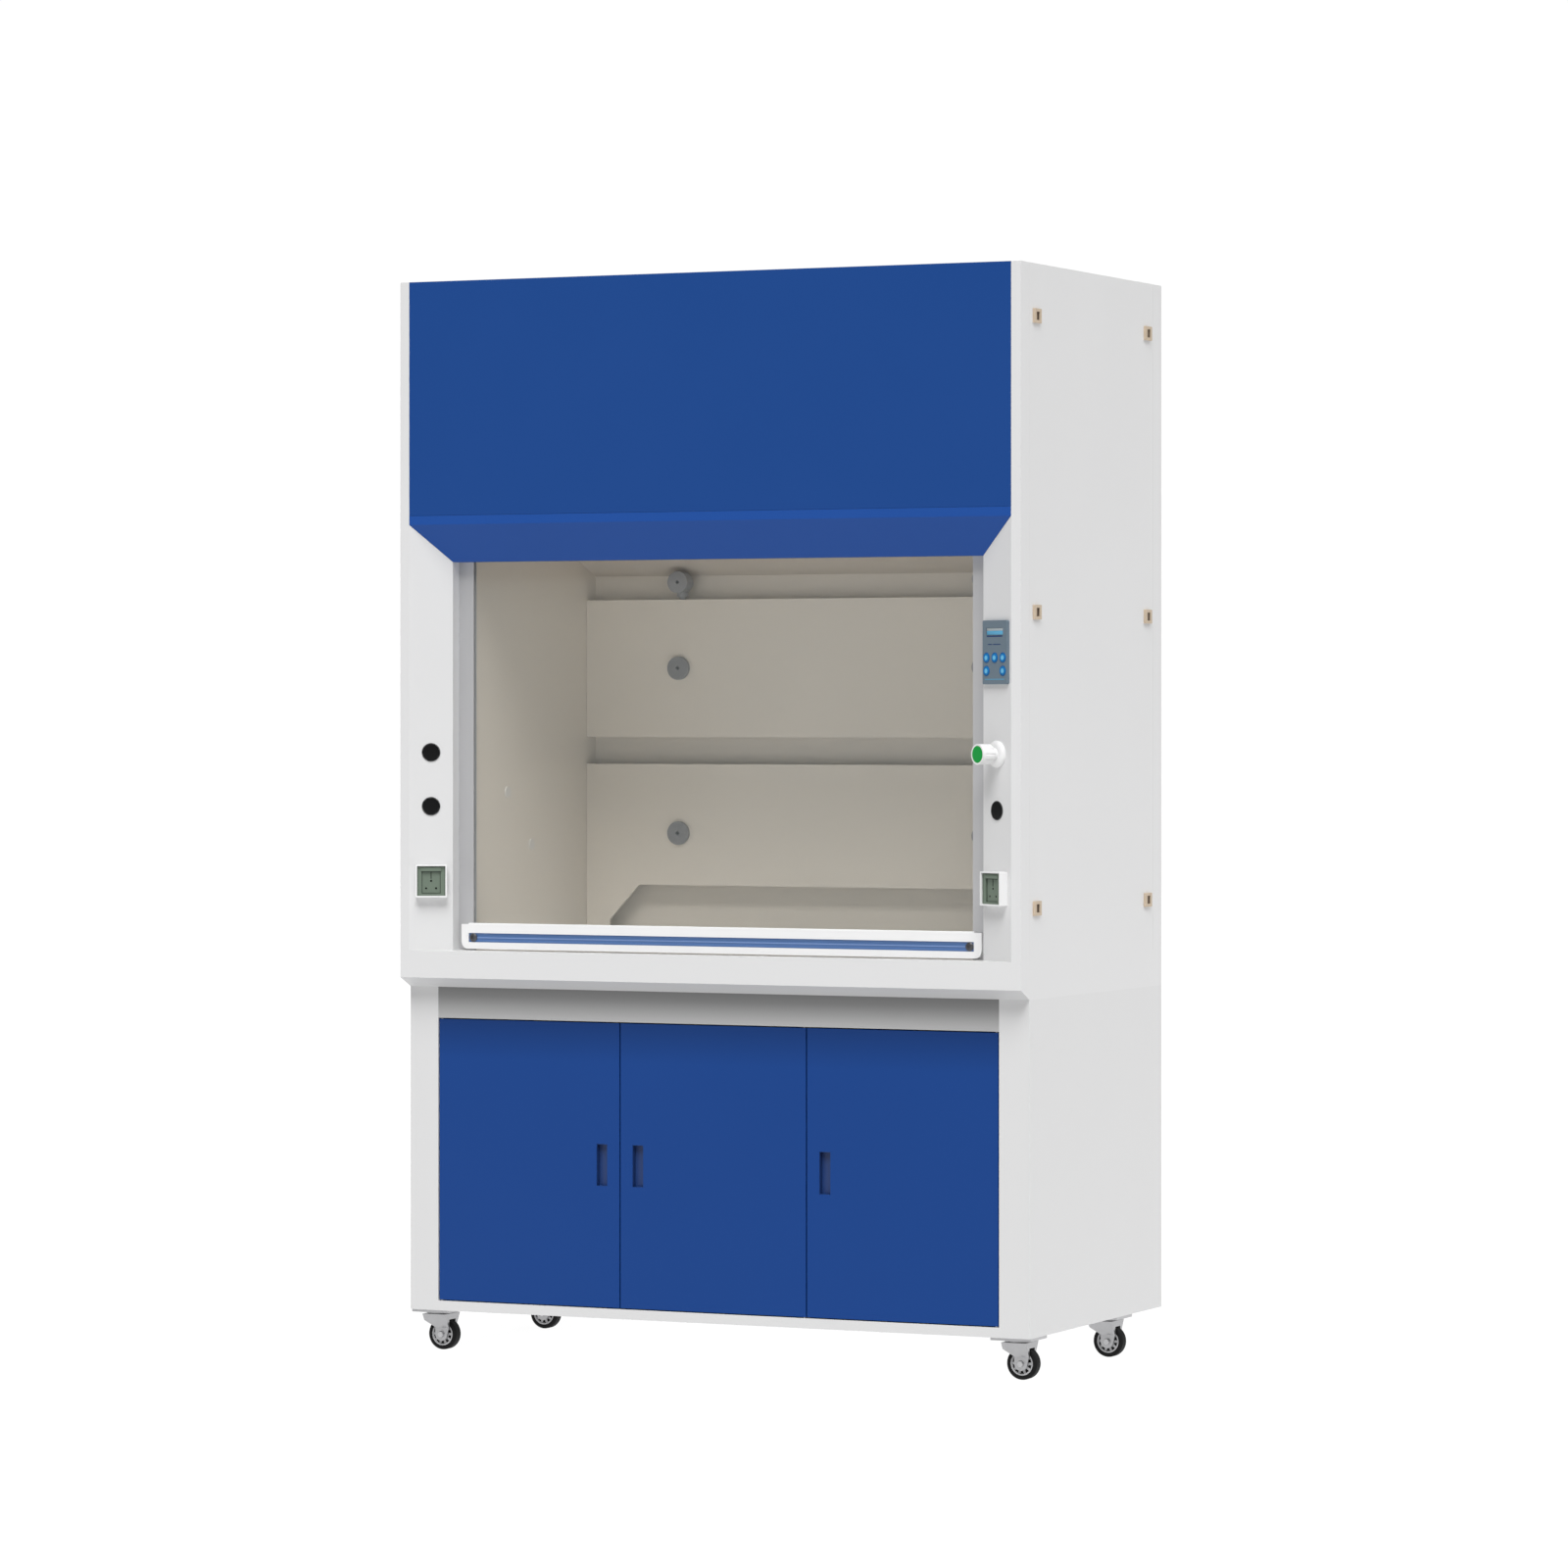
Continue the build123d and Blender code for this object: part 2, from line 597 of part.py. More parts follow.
# Back of the hood, wrapped round both rear corners
with BuildPart() as hood_back_panel:
    with BuildSketch(level(HOOD_Z)):
        folded(
            [
                (HALF - POST_RETURN, BACK_Y - REAR_STRIP),
                (HALF, BACK_Y - REAR_STRIP),
                (HALF, BACK_Y),
                (-HALF, BACK_Y),
                (-HALF, BACK_Y - REAR_STRIP),
                (-HALF + POST_RETURN, BACK_Y - REAR_STRIP),
            ],
            SHEET,
        )
    extrude(amount=HOOD_HEIGHT)
parts["hood_back_panel"] = hood_back_panel

# Blue front: the upper panel, and the beak whose ends are mitred to the slanted posts
with BuildPart() as upper_front_panel:
    with BuildSketch(front_plane(FRONT_Y)):
        with Locations((0, (SEAM_Z + TOP_Z) / 2)):
            Rectangle((STRIP_X - CLEARANCE) * 2, TOP_Z - SEAM_Z)
    extrude(amount=-PANEL_DEPTH)
    with BuildSketch(front_plane(FRONT_Y + SHEET)):
        with Locations((0, (SEAM_Z + TOP_Z) / 2)):
            Rectangle((STRIP_X - CLEARANCE - SHEET) * 2, TOP_Z - SEAM_Z - SHEET * 2)
    extrude(amount=-PANEL_DEPTH, mode=Mode.SUBTRACT)
parts["upper_front_panel"] = upper_front_panel

BEAK_HALF = STRIP_X - CLEARANCE
with BuildPart() as beak_panel:
    with BuildSketch(side_plane(-BEAK_HALF)):
        folded(
            [
                (FRONT_Y + PANEL_DEPTH, SEAM_Z - CLEARANCE),
                (FRONT_Y, SEAM_Z - CLEARANCE),
                (FRONT_Y, BEND_Z),
                (MOUTH_Y, LIP_Z),
                (TRACK_Y, LIP_Z),
            ],
            SHEET,
        )
    extrude(amount=BEAK_HALF * 2)
    for side in (-1, 1):
        with BuildSketch(level(LIP_Z)):
            Polygon(
                (side * HALF, FRONT_Y),
                (side * BEAK_HALF, FRONT_Y),
                (side * (MOUTH_X - CLEARANCE), MOUTH_Y),
                (side * (MOUTH_X - CLEARANCE), TRACK_Y + SHEET),
                (side * HALF, TRACK_Y + SHEET),
                align=None,
            )
        extrude(amount=BEND_Z - LIP_Z, mode=Mode.SUBTRACT)
parts["beak_panel"] = beak_panel

# Top of the hood with the duct hole and the hangers of both pulley shafts
PULLEY_Z = TOP_Z - PULLEY_DROP
CABLE_PATH_RADIUS = PULLEY_RADIUS + CABLE_RADIUS + CABLE_CLEARANCE
FRONT_PULLEY_Y = GLASS_MID_Y + CABLE_PATH_RADIUS
WEIGHT_Y = (REAR_WALL_Y + LINER + BACK_Y - SHEET) / 2
REAR_PULLEY_Y = WEIGHT_Y - CABLE_PATH_RADIUS
TOP_FRONT = FRONT_Y + PANEL_DEPTH + CLEARANCE
TOP_BACK = BACK_Y - SHEET - CLEARANCE
TOP_HALF = HALF - ACCESS_PANEL_DEPTH - CLEARANCE
BRACKET_X = PULLEY_WIDTH / 2 + BRACKET_GAP + BRACKET_THICK / 2
with BuildPart() as hood_top_panel:
    with BuildSketch(level(TOP_Z - SHEET)):
        with Locations((0, (TOP_FRONT + TOP_BACK) / 2)):
            Rectangle(TOP_HALF * 2, TOP_BACK - TOP_FRONT)
        with Locations((0, DUCT_Y)):
            Circle(DUCT_RADIUS + DUCT_WALL + CLEARANCE, mode=Mode.SUBTRACT)
    extrude(amount=SHEET)
    with BuildSketch(level(TOP_Z - SHEET)):
        with Locations(
            *[
                (sx * CABLE_X + dx * BRACKET_X, y)
                for sx in (-1, 1)
                for dx in (-1, 1)
                for y in (FRONT_PULLEY_Y, REAR_PULLEY_Y)
            ]
        ):
            Rectangle(BRACKET_THICK, BRACKET_WIDTH)
    extrude(amount=-(PULLEY_DROP - SHEET + BRACKET_WIDTH / 2))
    with BuildSketch(side_plane(-TOP_HALF)):
        with Locations((FRONT_PULLEY_Y, PULLEY_Z), (REAR_PULLEY_Y, PULLEY_Z)):
            Circle(SHAFT_RADIUS + SHAFT_CLEARANCE)
    extrude(amount=TOP_HALF * 2, mode=Mode.SUBTRACT)
parts["hood_top_panel"] = hood_top_panel


def pulley_shaft(y):
    """Cross shaft with a grooved pulley at each end, over which the sash cables run."""
    groove = CABLE_RADIUS * 2
    half = PULLEY_WIDTH / 2
    rim = PULLEY_RADIUS + PULLEY_FLANGE
    with BuildPart() as shaft:
        with BuildSketch(side_plane(-CABLE_X - BRACKET_X - SHAFT_TAIL)):
            with Locations((y, PULLEY_Z)):
                Circle(SHAFT_RADIUS)
        extrude(amount=(CABLE_X + BRACKET_X + SHAFT_TAIL) * 2)
        for x in (-CABLE_X, CABLE_X):
            with BuildSketch(Plane(origin=(x, y, PULLEY_Z), x_dir=(1, 0, 0), z_dir=(0, -1, 0))):
                Polygon(
                    (-half, 0),
                    (-half, rim),
                    (-groove, rim),
                    (-groove / 2, PULLEY_RADIUS),
                    (groove / 2, PULLEY_RADIUS),
                    (groove, rim),
                    (half, rim),
                    (half, 0),
                    align=None,
                )
            revolve(axis=Axis((x, y, PULLEY_Z), (1, 0, 0)))
    return shaft


parts["front_pulley_shaft"] = pulley_shaft(FRONT_PULLEY_Y)
parts["rear_pulley_shaft"] = pulley_shaft(REAR_PULLEY_Y)

# Exhaust duct from the chamber's ceiling to the spigot on top, with a flange seated on the top
with BuildPart() as exhaust_duct:
    with BuildSketch(level(CEILING_Z)):
        with Locations((0, DUCT_Y)):
            Circle(DUCT_RADIUS + DUCT_WALL)
            Circle(DUCT_RADIUS, mode=Mode.SUBTRACT)
    extrude(amount=TOP_Z + DUCT_PROUD - CEILING_Z)
    with BuildSketch(level(TOP_Z)):
        with Locations((0, DUCT_Y)):
            Circle(DUCT_RADIUS + DUCT_WALL + DUCT_FLANGE)
            Circle(DUCT_RADIUS, mode=Mode.SUBTRACT)
    extrude(amount=DUCT_FLANGE_THICK)
    with BuildSketch(side_plane(-DUCT_RADIUS * 2)):
        Polygon(
            (LINER_Y, CEILING_Z - CEILING_RISE),
            (REAR_WALL_Y, CEILING_Z - CEILING_RISE),
            (REAR_WALL_Y, CEILING_Z + LINER / cos(radians(CEILING_PITCH))),
            (LINER_Y, CEILING_Z + CEILING_RISE + LINER / cos(radians(CEILING_PITCH))),
            align=None,
        )
    extrude(amount=DUCT_RADIUS * 4, mode=Mode.SUBTRACT)
parts["exhaust_duct"] = exhaust_duct

# Sash tracks: slotted channels that the glass edges run in
TRACK_OUTER = MOUTH_X + SHEET
TRACK_INNER = TRACK_OUTER - TRACK_WIDTH
TRACK_HEIGHT = SASH_OVERLAP + SASH_TRAVEL + MOUTH_HEIGHT + TOP_RAIL_WALL
with BuildPart() as sash_tracks:
    with BuildSketch(level(HOOD_Z)):
        folded(
            [
                (TRACK_INNER, TRACK_Y),
                (TRACK_OUTER, TRACK_Y),
                (TRACK_OUTER, TRACK_Y + TRACK_DEPTH),
                (TRACK_INNER, TRACK_Y + TRACK_DEPTH),
            ],
            TRACK_WALL,
        )
    extrude(amount=TRACK_HEIGHT)
    mirror(about=Plane.YZ)
parts["sash_tracks"] = sash_tracks

# Liner of the work chamber
WALL_PORT_PLACES = [
    (FRONT_Y + WALL_PORT_SETBACK, HOOD_Z + WALL_PORT_LEVEL),
    (FRONT_Y + WALL_PORT_SETBACK + WALL_PORT_STEP, HOOD_Z + WALL_PORT_LEVEL - WALL_PORT_DROP),
]
with BuildPart() as liner_side_walls:
    with BuildSketch(side_plane(LINER_X)):
        Polygon(
            (LINER_Y, HOOD_Z),
            (REAR_WALL_Y, HOOD_Z),
            (REAR_WALL_Y, CEILING_Z),
            (LINER_Y, CEILING_Z + CEILING_RISE),
            align=None,
        )
    extrude(amount=LINER)
    with BuildSketch(side_plane(LINER_X)):
        with Locations(*WALL_PORT_PLACES):
            Circle(WALL_PORT_NECK_RADIUS + CLEARANCE)
    extrude(amount=LINER, mode=Mode.SUBTRACT)
    mirror(about=Plane.YZ)
parts["liner_side_walls"] = liner_side_walls

with BuildPart() as wall_port_plugs:
    with BuildSketch(side_plane(LINER_X)):
        with Locations(*WALL_PORT_PLACES):
            Circle(WALL_PORT_RADIUS)
    extrude(amount=-WALL_PORT_PROUD)
    with BuildSketch(side_plane(LINER_X)):
        with Locations(*WALL_PORT_PLACES):
            Circle(WALL_PORT_NECK_RADIUS)
    extrude(amount=LINER + WALL_PORT_PROUD)
    mirror(about=Plane.YZ)
parts["wall_port_plugs"] = wall_port_plugs

with BuildPart() as liner_rear_wall:
    with BuildSketch(front_plane(REAR_WALL_Y)):
        with Locations((0, (HOOD_Z + CEILING_Z) / 2)):
            Rectangle((LINER_X + LINER) * 2, CEILING_Z - HOOD_Z)
    extrude(amount=-LINER)
parts["liner_rear_wall"] = liner_rear_wall

CEILING_SLANT = LINER / cos(radians(CEILING_PITCH))
LAMP_FRONT = LINER_Y + LAMP_Y
with BuildPart() as liner_ceiling:
    with BuildSketch(side_plane(-LINER_X - LINER)):
        Polygon(
            (LINER_Y, CEILING_Z + CEILING_RISE),
            (REAR_WALL_Y, CEILING_Z),
            (REAR_WALL_Y, CEILING_Z + CEILING_SLANT),
            (LINER_Y, CEILING_Z + CEILING_RISE + CEILING_SLANT),
            align=None,
        )
    extrude(amount=(LINER_X + LINER) * 2)
    with BuildSketch(level(CEILING_Z)):
        with Locations((0, DUCT_Y)):
            Circle(DUCT_RADIUS)
        with Locations((0, LAMP_FRONT + LAMP_WIDTH / 2)):
            Rectangle(LAMP_LENGTH - LAMP_LEDGE * 2, LAMP_WIDTH - LAMP_LEDGE * 2)
    extrude(amount=CEILING_RISE + CEILING_SLANT, mode=Mode.SUBTRACT)
parts["liner_ceiling"] = liner_ceiling

# Lamp box on the ceiling, with its glass over the cut-out
LAMP_REST_Z = CEILING_Z + (REAR_WALL_Y - LAMP_FRONT) * tan(radians(CEILING_PITCH)) + CEILING_SLANT
LAMP_PLANE = Plane(
    origin=(0, LAMP_FRONT, LAMP_REST_Z),
    x_dir=(1, 0, 0),
    z_dir=(0, sin(radians(CEILING_PITCH)), cos(radians(CEILING_PITCH))),
)
LAMP_SLANT = LAMP_WIDTH / cos(radians(CEILING_PITCH))
with BuildPart() as work_lamp:
    with BuildSketch(LAMP_PLANE):
        with Locations((0, LAMP_SLANT / 2)):
            Rectangle(LAMP_LENGTH, LAMP_SLANT)
    extrude(amount=LAMP_HEIGHT, taper=LAMP_TAPER)
    with BuildSketch(LAMP_PLANE.offset(LAMP_GLASS)):
        with Locations((0, LAMP_SLANT / 2)):
            Rectangle(LAMP_LENGTH - LAMP_HEIGHT, LAMP_SLANT - LAMP_HEIGHT)
    extrude(amount=LAMP_HEIGHT - LAMP_GLASS * 2, mode=Mode.SUBTRACT)
parts["work_lamp"] = work_lamp

# Baffles in front of the rear wall, leaving slots at the foot, the middle and the top
with BuildPart() as upper_baffle:
    with BuildSketch(front_plane(BAFFLE_Y)):
        with Locations((0, HOOD_Z + (UPPER_BAFFLE_BOTTOM + UPPER_BAFFLE_TOP) / 2)):
            Rectangle((LINER_X - CLEARANCE) * 2, UPPER_BAFFLE_TOP - UPPER_BAFFLE_BOTTOM)
        with Locations((-FIXING_X, HOOD_Z + FIXING_HIGH_LEVEL), (FIXING_X, HOOD_Z + FIXING_HIGH_LEVEL)):
            Circle(FIXING_BOLT_RADIUS + CLEARANCE, mode=Mode.SUBTRACT)
    extrude(amount=-BAFFLE_THICK)
parts["upper_baffle"] = upper_baffle

with BuildPart() as lower_baffle:
    with BuildSketch(front_plane(BAFFLE_Y)):
        with Locations((0, HOOD_Z + LOWER_BAFFLE_TOP / 2)):
            Rectangle((LINER_X - CLEARANCE) * 2, LOWER_BAFFLE_TOP)
        with BuildLine():
            Polyline(
                (-NOTCH_HALF_FOOT, HOOD_Z),
                (-NOTCH_HALF_FOOT, HOOD_Z + NOTCH_KNEE),
                (-NOTCH_HALF_TOP, HOOD_Z + NOTCH_TOP),
                (NOTCH_HALF_TOP, HOOD_Z + NOTCH_TOP),
                (NOTCH_HALF_FOOT, HOOD_Z + NOTCH_KNEE),
                (NOTCH_HALF_FOOT, HOOD_Z),
                close=True,
            )
        make_face(mode=Mode.SUBTRACT)
        with Locations((-FIXING_X, HOOD_Z + FIXING_LOW_LEVEL), (FIXING_X, HOOD_Z + FIXING_LOW_LEVEL)):
            Circle(FIXING_BOLT_RADIUS + CLEARANCE, mode=Mode.SUBTRACT)
    extrude(amount=-BAFFLE_THICK)
parts["lower_baffle"] = lower_baffle

# Baffle fixings: a hand nut in front, its bolt through the baffle and a spacer to the rear wall
FIXING_PLACES = [
    (side * FIXING_X, HOOD_Z + height)
    for side in (-1, 1)
    for height in (FIXING_LOW_LEVEL, FIXING_HIGH_LEVEL)
]
with BuildPart() as baffle_fixings:
    with BuildSketch(front_plane(BAFFLE_Y)):
        with Locations(*FIXING_PLACES):
            Circle(FIXING_RADIUS)
    extrude(amount=FIXING_THICK)
    chamfer(baffle_fixings.faces().sort_by(Axis.Y)[: len(FIXING_PLACES)].edges(), FIXING_EDGE)
    with BuildSketch(front_plane(BAFFLE_Y - FIXING_THICK)):
        with Locations(*FIXING_PLACES):
            Rectangle(FIXING_SOCKET, FIXING_SOCKET, rotation=45)
    extrude(amount=-FIXING_SOCKET_DEPTH, mode=Mode.SUBTRACT)
    with BuildSketch(front_plane(BAFFLE_Y)):
        with Locations(*FIXING_PLACES):
            Circle(FIXING_BOLT_RADIUS)
    extrude(amount=-PLENUM)
    with BuildSketch(front_plane(BAFFLE_Y + BAFFLE_THICK)):
        with Locations(*FIXING_PLACES):
            Circle(FIXING_SPACER_RADIUS)
    extrude(amount=-(PLENUM - BAFFLE_THICK))
parts["baffle_fixings"] = baffle_fixings

# Service outlets above the upper baffle, each on a pipe that rises behind it
OUTLET_PIPE_Y = BAFFLE_Y + BAFFLE_THICK + OUTLET_NECK_RADIUS
OUTLET_BACK = OUTLET_PIPE_Y + OUTLET_PIPE_RADIUS / 2
OUTLET_ARM = REAR_WALL_Y - OUTLET_PIPE_Y + OUTLET_PIPE_RADIUS
OUTLET_Z = CEILING_Z - OUTLET_DROP
with BuildPart() as service_outlets:
    for x in (-FIXING_X, FIXING_X):
        with BuildSketch(front_plane(OUTLET_BACK)):
            with Locations((x, OUTLET_Z)):
                Circle(OUTLET_RADIUS)
        extrude(amount=OUTLET_THICK)
        with BuildSketch(level(OUTLET_Z - OUTLET_NECK)):
            with Locations((x, OUTLET_PIPE_Y)):
                Circle(OUTLET_NECK_RADIUS)
        extrude(amount=OUTLET_NECK)
        with BuildSketch(level(OUTLET_Z - OUTLET_NECK)):
            with Locations((x, OUTLET_PIPE_Y)):
                Circle(OUTLET_PIPE_RADIUS)
        extrude(amount=-OUTLET_PIPE)
        with BuildSketch(level(OUTLET_Z - OUTLET_NECK - OUTLET_PIPE)):
            with Locations((x, OUTLET_PIPE_Y - OUTLET_PIPE_RADIUS)):
                Rectangle(OUTLET_PIPE_RADIUS, OUTLET_ARM, align=(Align.CENTER, Align.MIN))
        extrude(amount=OUTLET_PIPE_RADIUS)
    with BuildSketch(front_plane(OUTLET_BACK - OUTLET_THICK)):
        with Locations((-FIXING_X, OUTLET_Z), (FIXING_X, OUTLET_Z)):
            Rectangle(FIXING_SOCKET, FIXING_SOCKET, rotation=45)
    extrude(amount=-FIXING_SOCKET_DEPTH, mode=Mode.SUBTRACT)
parts["service_outlets"] = service_outlets

# Black plugs in the spare holes of the posts
with BuildPart() as post_hole_plugs:
    for plane in (post_plane(-1, PLUG_LEVEL), post_plane(-1, UPPER_PLUG_LEVEL), post_plane(1, PLUG_LEVEL)):
        with BuildSketch(plane):
            Circle(PLUG_RADIUS)
        extrude(amount=PLUG_PROUD)
        with BuildSketch(plane):
            Circle(PLUG_NECK_RADIUS)
        extrude(amount=-PLUG_NECK)
parts["post_hole_plugs"] = post_hole_plugs

# Mains sockets: a white surface box and a recessed face with round pin holes
with BuildPart() as socket_boxes:
    for side in (-1, 1):
        with BuildSketch(post_plane(side, SOCKET_LEVEL)):
            RectangleRounded(SOCKET_WIDTH, SOCKET_HEIGHT, SOCKET_CORNER)
            Rectangle(SOCKET_WIDTH - SOCKET_WALL * 2, SOCKET_HEIGHT - SOCKET_WALL * 2, mode=Mode.SUBTRACT)
        extrude(amount=SOCKET_DEPTH)
parts["socket_boxes"] = socket_boxes

FACE_WIDTH = SOCKET_WIDTH - SOCKET_WALL * 2
FACE_HEIGHT = SOCKET_HEIGHT - SOCKET_WALL * 2
FACE_DEPTH = SOCKET_DEPTH - SOCKET_RECESS
PIN_PLACES = [(0, 0), (-SOCKET_PIN_PITCH / 2, -SOCKET_PIN_DROP), (SOCKET_PIN_PITCH / 2, -SOCKET_PIN_DROP)]
with BuildPart() as socket_faces:
    for side in (-1, 1):
        with BuildSketch(post_plane(side, SOCKET_LEVEL)):
            Rectangle(FACE_WIDTH, FACE_HEIGHT)
        extrude(amount=FACE_DEPTH)
        with BuildSketch(post_plane(side, SOCKET_LEVEL).offset(FACE_DEPTH)):
            with Locations((0, -SOCKET_WALL)):
                Rectangle(SOCKET_WELL_WIDTH, SOCKET_WELL_HEIGHT)
        extrude(amount=-SOCKET_WELL_DEPTH, mode=Mode.SUBTRACT)
        with BuildSketch(post_plane(side, SOCKET_LEVEL).offset(FACE_DEPTH - SOCKET_WELL_DEPTH)):
            with Locations(*PIN_PLACES):
                Circle(SOCKET_PIN_RADIUS)
        extrude(amount=-SOCKET_PIN_DEPTH, mode=Mode.SUBTRACT)
parts["socket_faces"] = socket_faces

# Service valve: a fixed rose with a stem, and the turning knob with its green cap
VALVE_PLANE = post_plane(1, UPPER_PLUG_LEVEL)
VALVE_AXIS = Axis(VALVE_PLANE.origin, VALVE_PLANE.z_dir)
ROSE_SECTION = Plane(origin=VALVE_PLANE.origin, x_dir=VALVE_PLANE.x_dir, z_dir=-VALVE_PLANE.y_dir)
NECK_END = VALVE_ROSE_DEPTH + VALVE_NECK_DEPTH
STEM_END = VALVE_REACH - VALVE_CAP_DEPTH - VALVE_NECK_DEPTH
with BuildPart() as valve_base:
    with BuildSketch(ROSE_SECTION):
        with BuildLine():
            Polyline((0, 0), (VALVE_ROSE_RADIUS, 0), (VALVE_ROSE_RADIUS, VALVE_ROSE_RIM))
            ThreePointArc(
                (VALVE_ROSE_RADIUS, VALVE_ROSE_RIM),
                (VALVE_ROSE_SHOULDER, VALVE_ROSE_CROWN),
                (VALVE_NECK_RADIUS, VALVE_ROSE_DEPTH),
            )
            Polyline(
                (VALVE_NECK_RADIUS, VALVE_ROSE_DEPTH),
                (VALVE_NECK_RADIUS, NECK_END),
                (VALVE_STEM_RADIUS, NECK_END),
                (VALVE_STEM_RADIUS, STEM_END),
                (0, STEM_END),
                (0, 0),
            )
        make_face()
    revolve(axis=VALVE_AXIS)
parts["valve_base"] = valve_base

with BuildPart() as valve_knob:
    with BuildSketch(VALVE_PLANE.offset(NECK_END + VALVE_GAP)):
        Circle(VALVE_KNOB_RADIUS)
    extrude(amount=VALVE_KNOB_DEPTH - VALVE_GAP)
    chamfer(valve_knob.faces().sort_by(VALVE_AXIS)[0].edges(), VALVE_CAP_DEPTH)
    with BuildSketch(VALVE_PLANE.offset(NECK_END + VALVE_GAP)):
        with PolarLocations(VALVE_KNOB_RADIUS + VALVE_FLUTE_RADIUS / 3, VALVE_FLUTES):
            Circle(VALVE_FLUTE_RADIUS)
    extrude(amount=VALVE_FLUTE_LENGTH, mode=Mode.SUBTRACT)
    with BuildSketch(VALVE_PLANE.offset(NECK_END)):
        Circle(VALVE_STEM_RADIUS + HINGE_CLEARANCE)
    extrude(amount=STEM_END - NECK_END + CLEARANCE, mode=Mode.SUBTRACT)
    with BuildSketch(VALVE_PLANE.offset(VALVE_REACH)):
        Circle(VALVE_CAP_RADIUS)
    extrude(amount=-VALVE_CAP_DEPTH, mode=Mode.SUBTRACT)
parts["valve_knob"] = valve_knob

with BuildPart() as valve_cap:
    with BuildSketch(VALVE_PLANE.offset(VALVE_REACH - VALVE_CAP_DEPTH)):
        Circle(VALVE_CAP_RADIUS)
    extrude(amount=VALVE_CAP_DEPTH)
parts["valve_cap"] = valve_cap

# Control panel with a display window and five push buttons in open wells
CONTROL_PLANE = post_plane(1, PANEL_LEVEL)
BUTTON_PLACES = [
    (-BUTTON_PITCH_X, BUTTON_ROW_RISE),
    (0, BUTTON_ROW_RISE),
    (BUTTON_PITCH_X, BUTTON_ROW_RISE),
    (-BUTTON_PITCH_X, BUTTON_ROW_RISE - BUTTON_ROW_PITCH),
    (BUTTON_PITCH_X, BUTTON_ROW_RISE - BUTTON_ROW_PITCH),
]
BUTTON_FLOOR = PANEL_THICK + BUTTON_PROUD - BUTTON_THICK
with BuildPart() as control_panel:
    with BuildSketch(CONTROL_PLANE):
        RectangleRounded(PANEL_WIDTH, PANEL_HEIGHT, PANEL_CORNER)
    extrude(amount=PANEL_THICK)
    with BuildSketch(CONTROL_PLANE.offset(PANEL_THICK)):
        with Locations((0, PANEL_WINDOW_RISE)):
            Rectangle(PANEL_WINDOW_WIDTH, PANEL_WINDOW_HEIGHT)
    extrude(amount=-PANEL_WINDOW_DEPTH, mode=Mode.SUBTRACT)
    with BuildSketch(CONTROL_PLANE.offset(PANEL_THICK)):
        with Locations(*BUTTON_PLACES):
            Circle(BUTTON_RADIUS + BUTTON_CLEARANCE)
    extrude(amount=-(PANEL_THICK - BUTTON_FLOOR + BUTTON_TRAVEL + BUTTON_WELL_GAP), mode=Mode.SUBTRACT)
parts["control_panel"] = control_panel

for number, place in enumerate(BUTTON_PLACES, 1):
    with BuildPart() as button:
        with BuildSketch(CONTROL_PLANE.offset(BUTTON_FLOOR)):
            with Locations(place):
                Circle(BUTTON_RADIUS)
        extrude(amount=BUTTON_THICK)
        fillet(button.faces().sort_by(VALVE_AXIS)[-1].edges(), BUTTON_EDGE)
    parts[f"button_{number}"] = button

# Sash: glass, handle bar with end caps, ribbed insert and top rail
HANDLE_Z = HOOD_Z + HANDLE_GAP
HANDLE_TOP = HANDLE_Z + HANDLE_HEIGHT
HANDLE_FRONT = TRACK_Y - HANDLE_PROUD
HANDLE_BACK = TRACK_Y - HANDLE_TRACK_GAP
GROOVE_Z = HANDLE_Z + HANDLE_GROOVE_BOTTOM
GROOVE_TOP = GROOVE_Z + HANDLE_GROOVE_HEIGHT
GROOVE_Y = HANDLE_FRONT + HANDLE_GROOVE_DEPTH
CLAMP_HALF = TRACK_INNER - TRACK_SLOT / 4
CLAMP_BACK = GLASS_Y + GLASS_THICK + CLEARANCE + HANDLE_CLAMP_WALL
CLAMP_TOP = HANDLE_Z + HANDLE_CLAMP_HEIGHT
GLASS_HALF = TRACK_OUTER - TRACK_WALL - GLASS_EDGE
GLASS_BOTTOM = HANDLE_Z + HANDLE_CLAMP_WALL + CLEARANCE
SASH_TOP = LIP_Z + SASH_OVERLAP
BAR_HALF = HANDLE_HALF - HANDLE_CAP

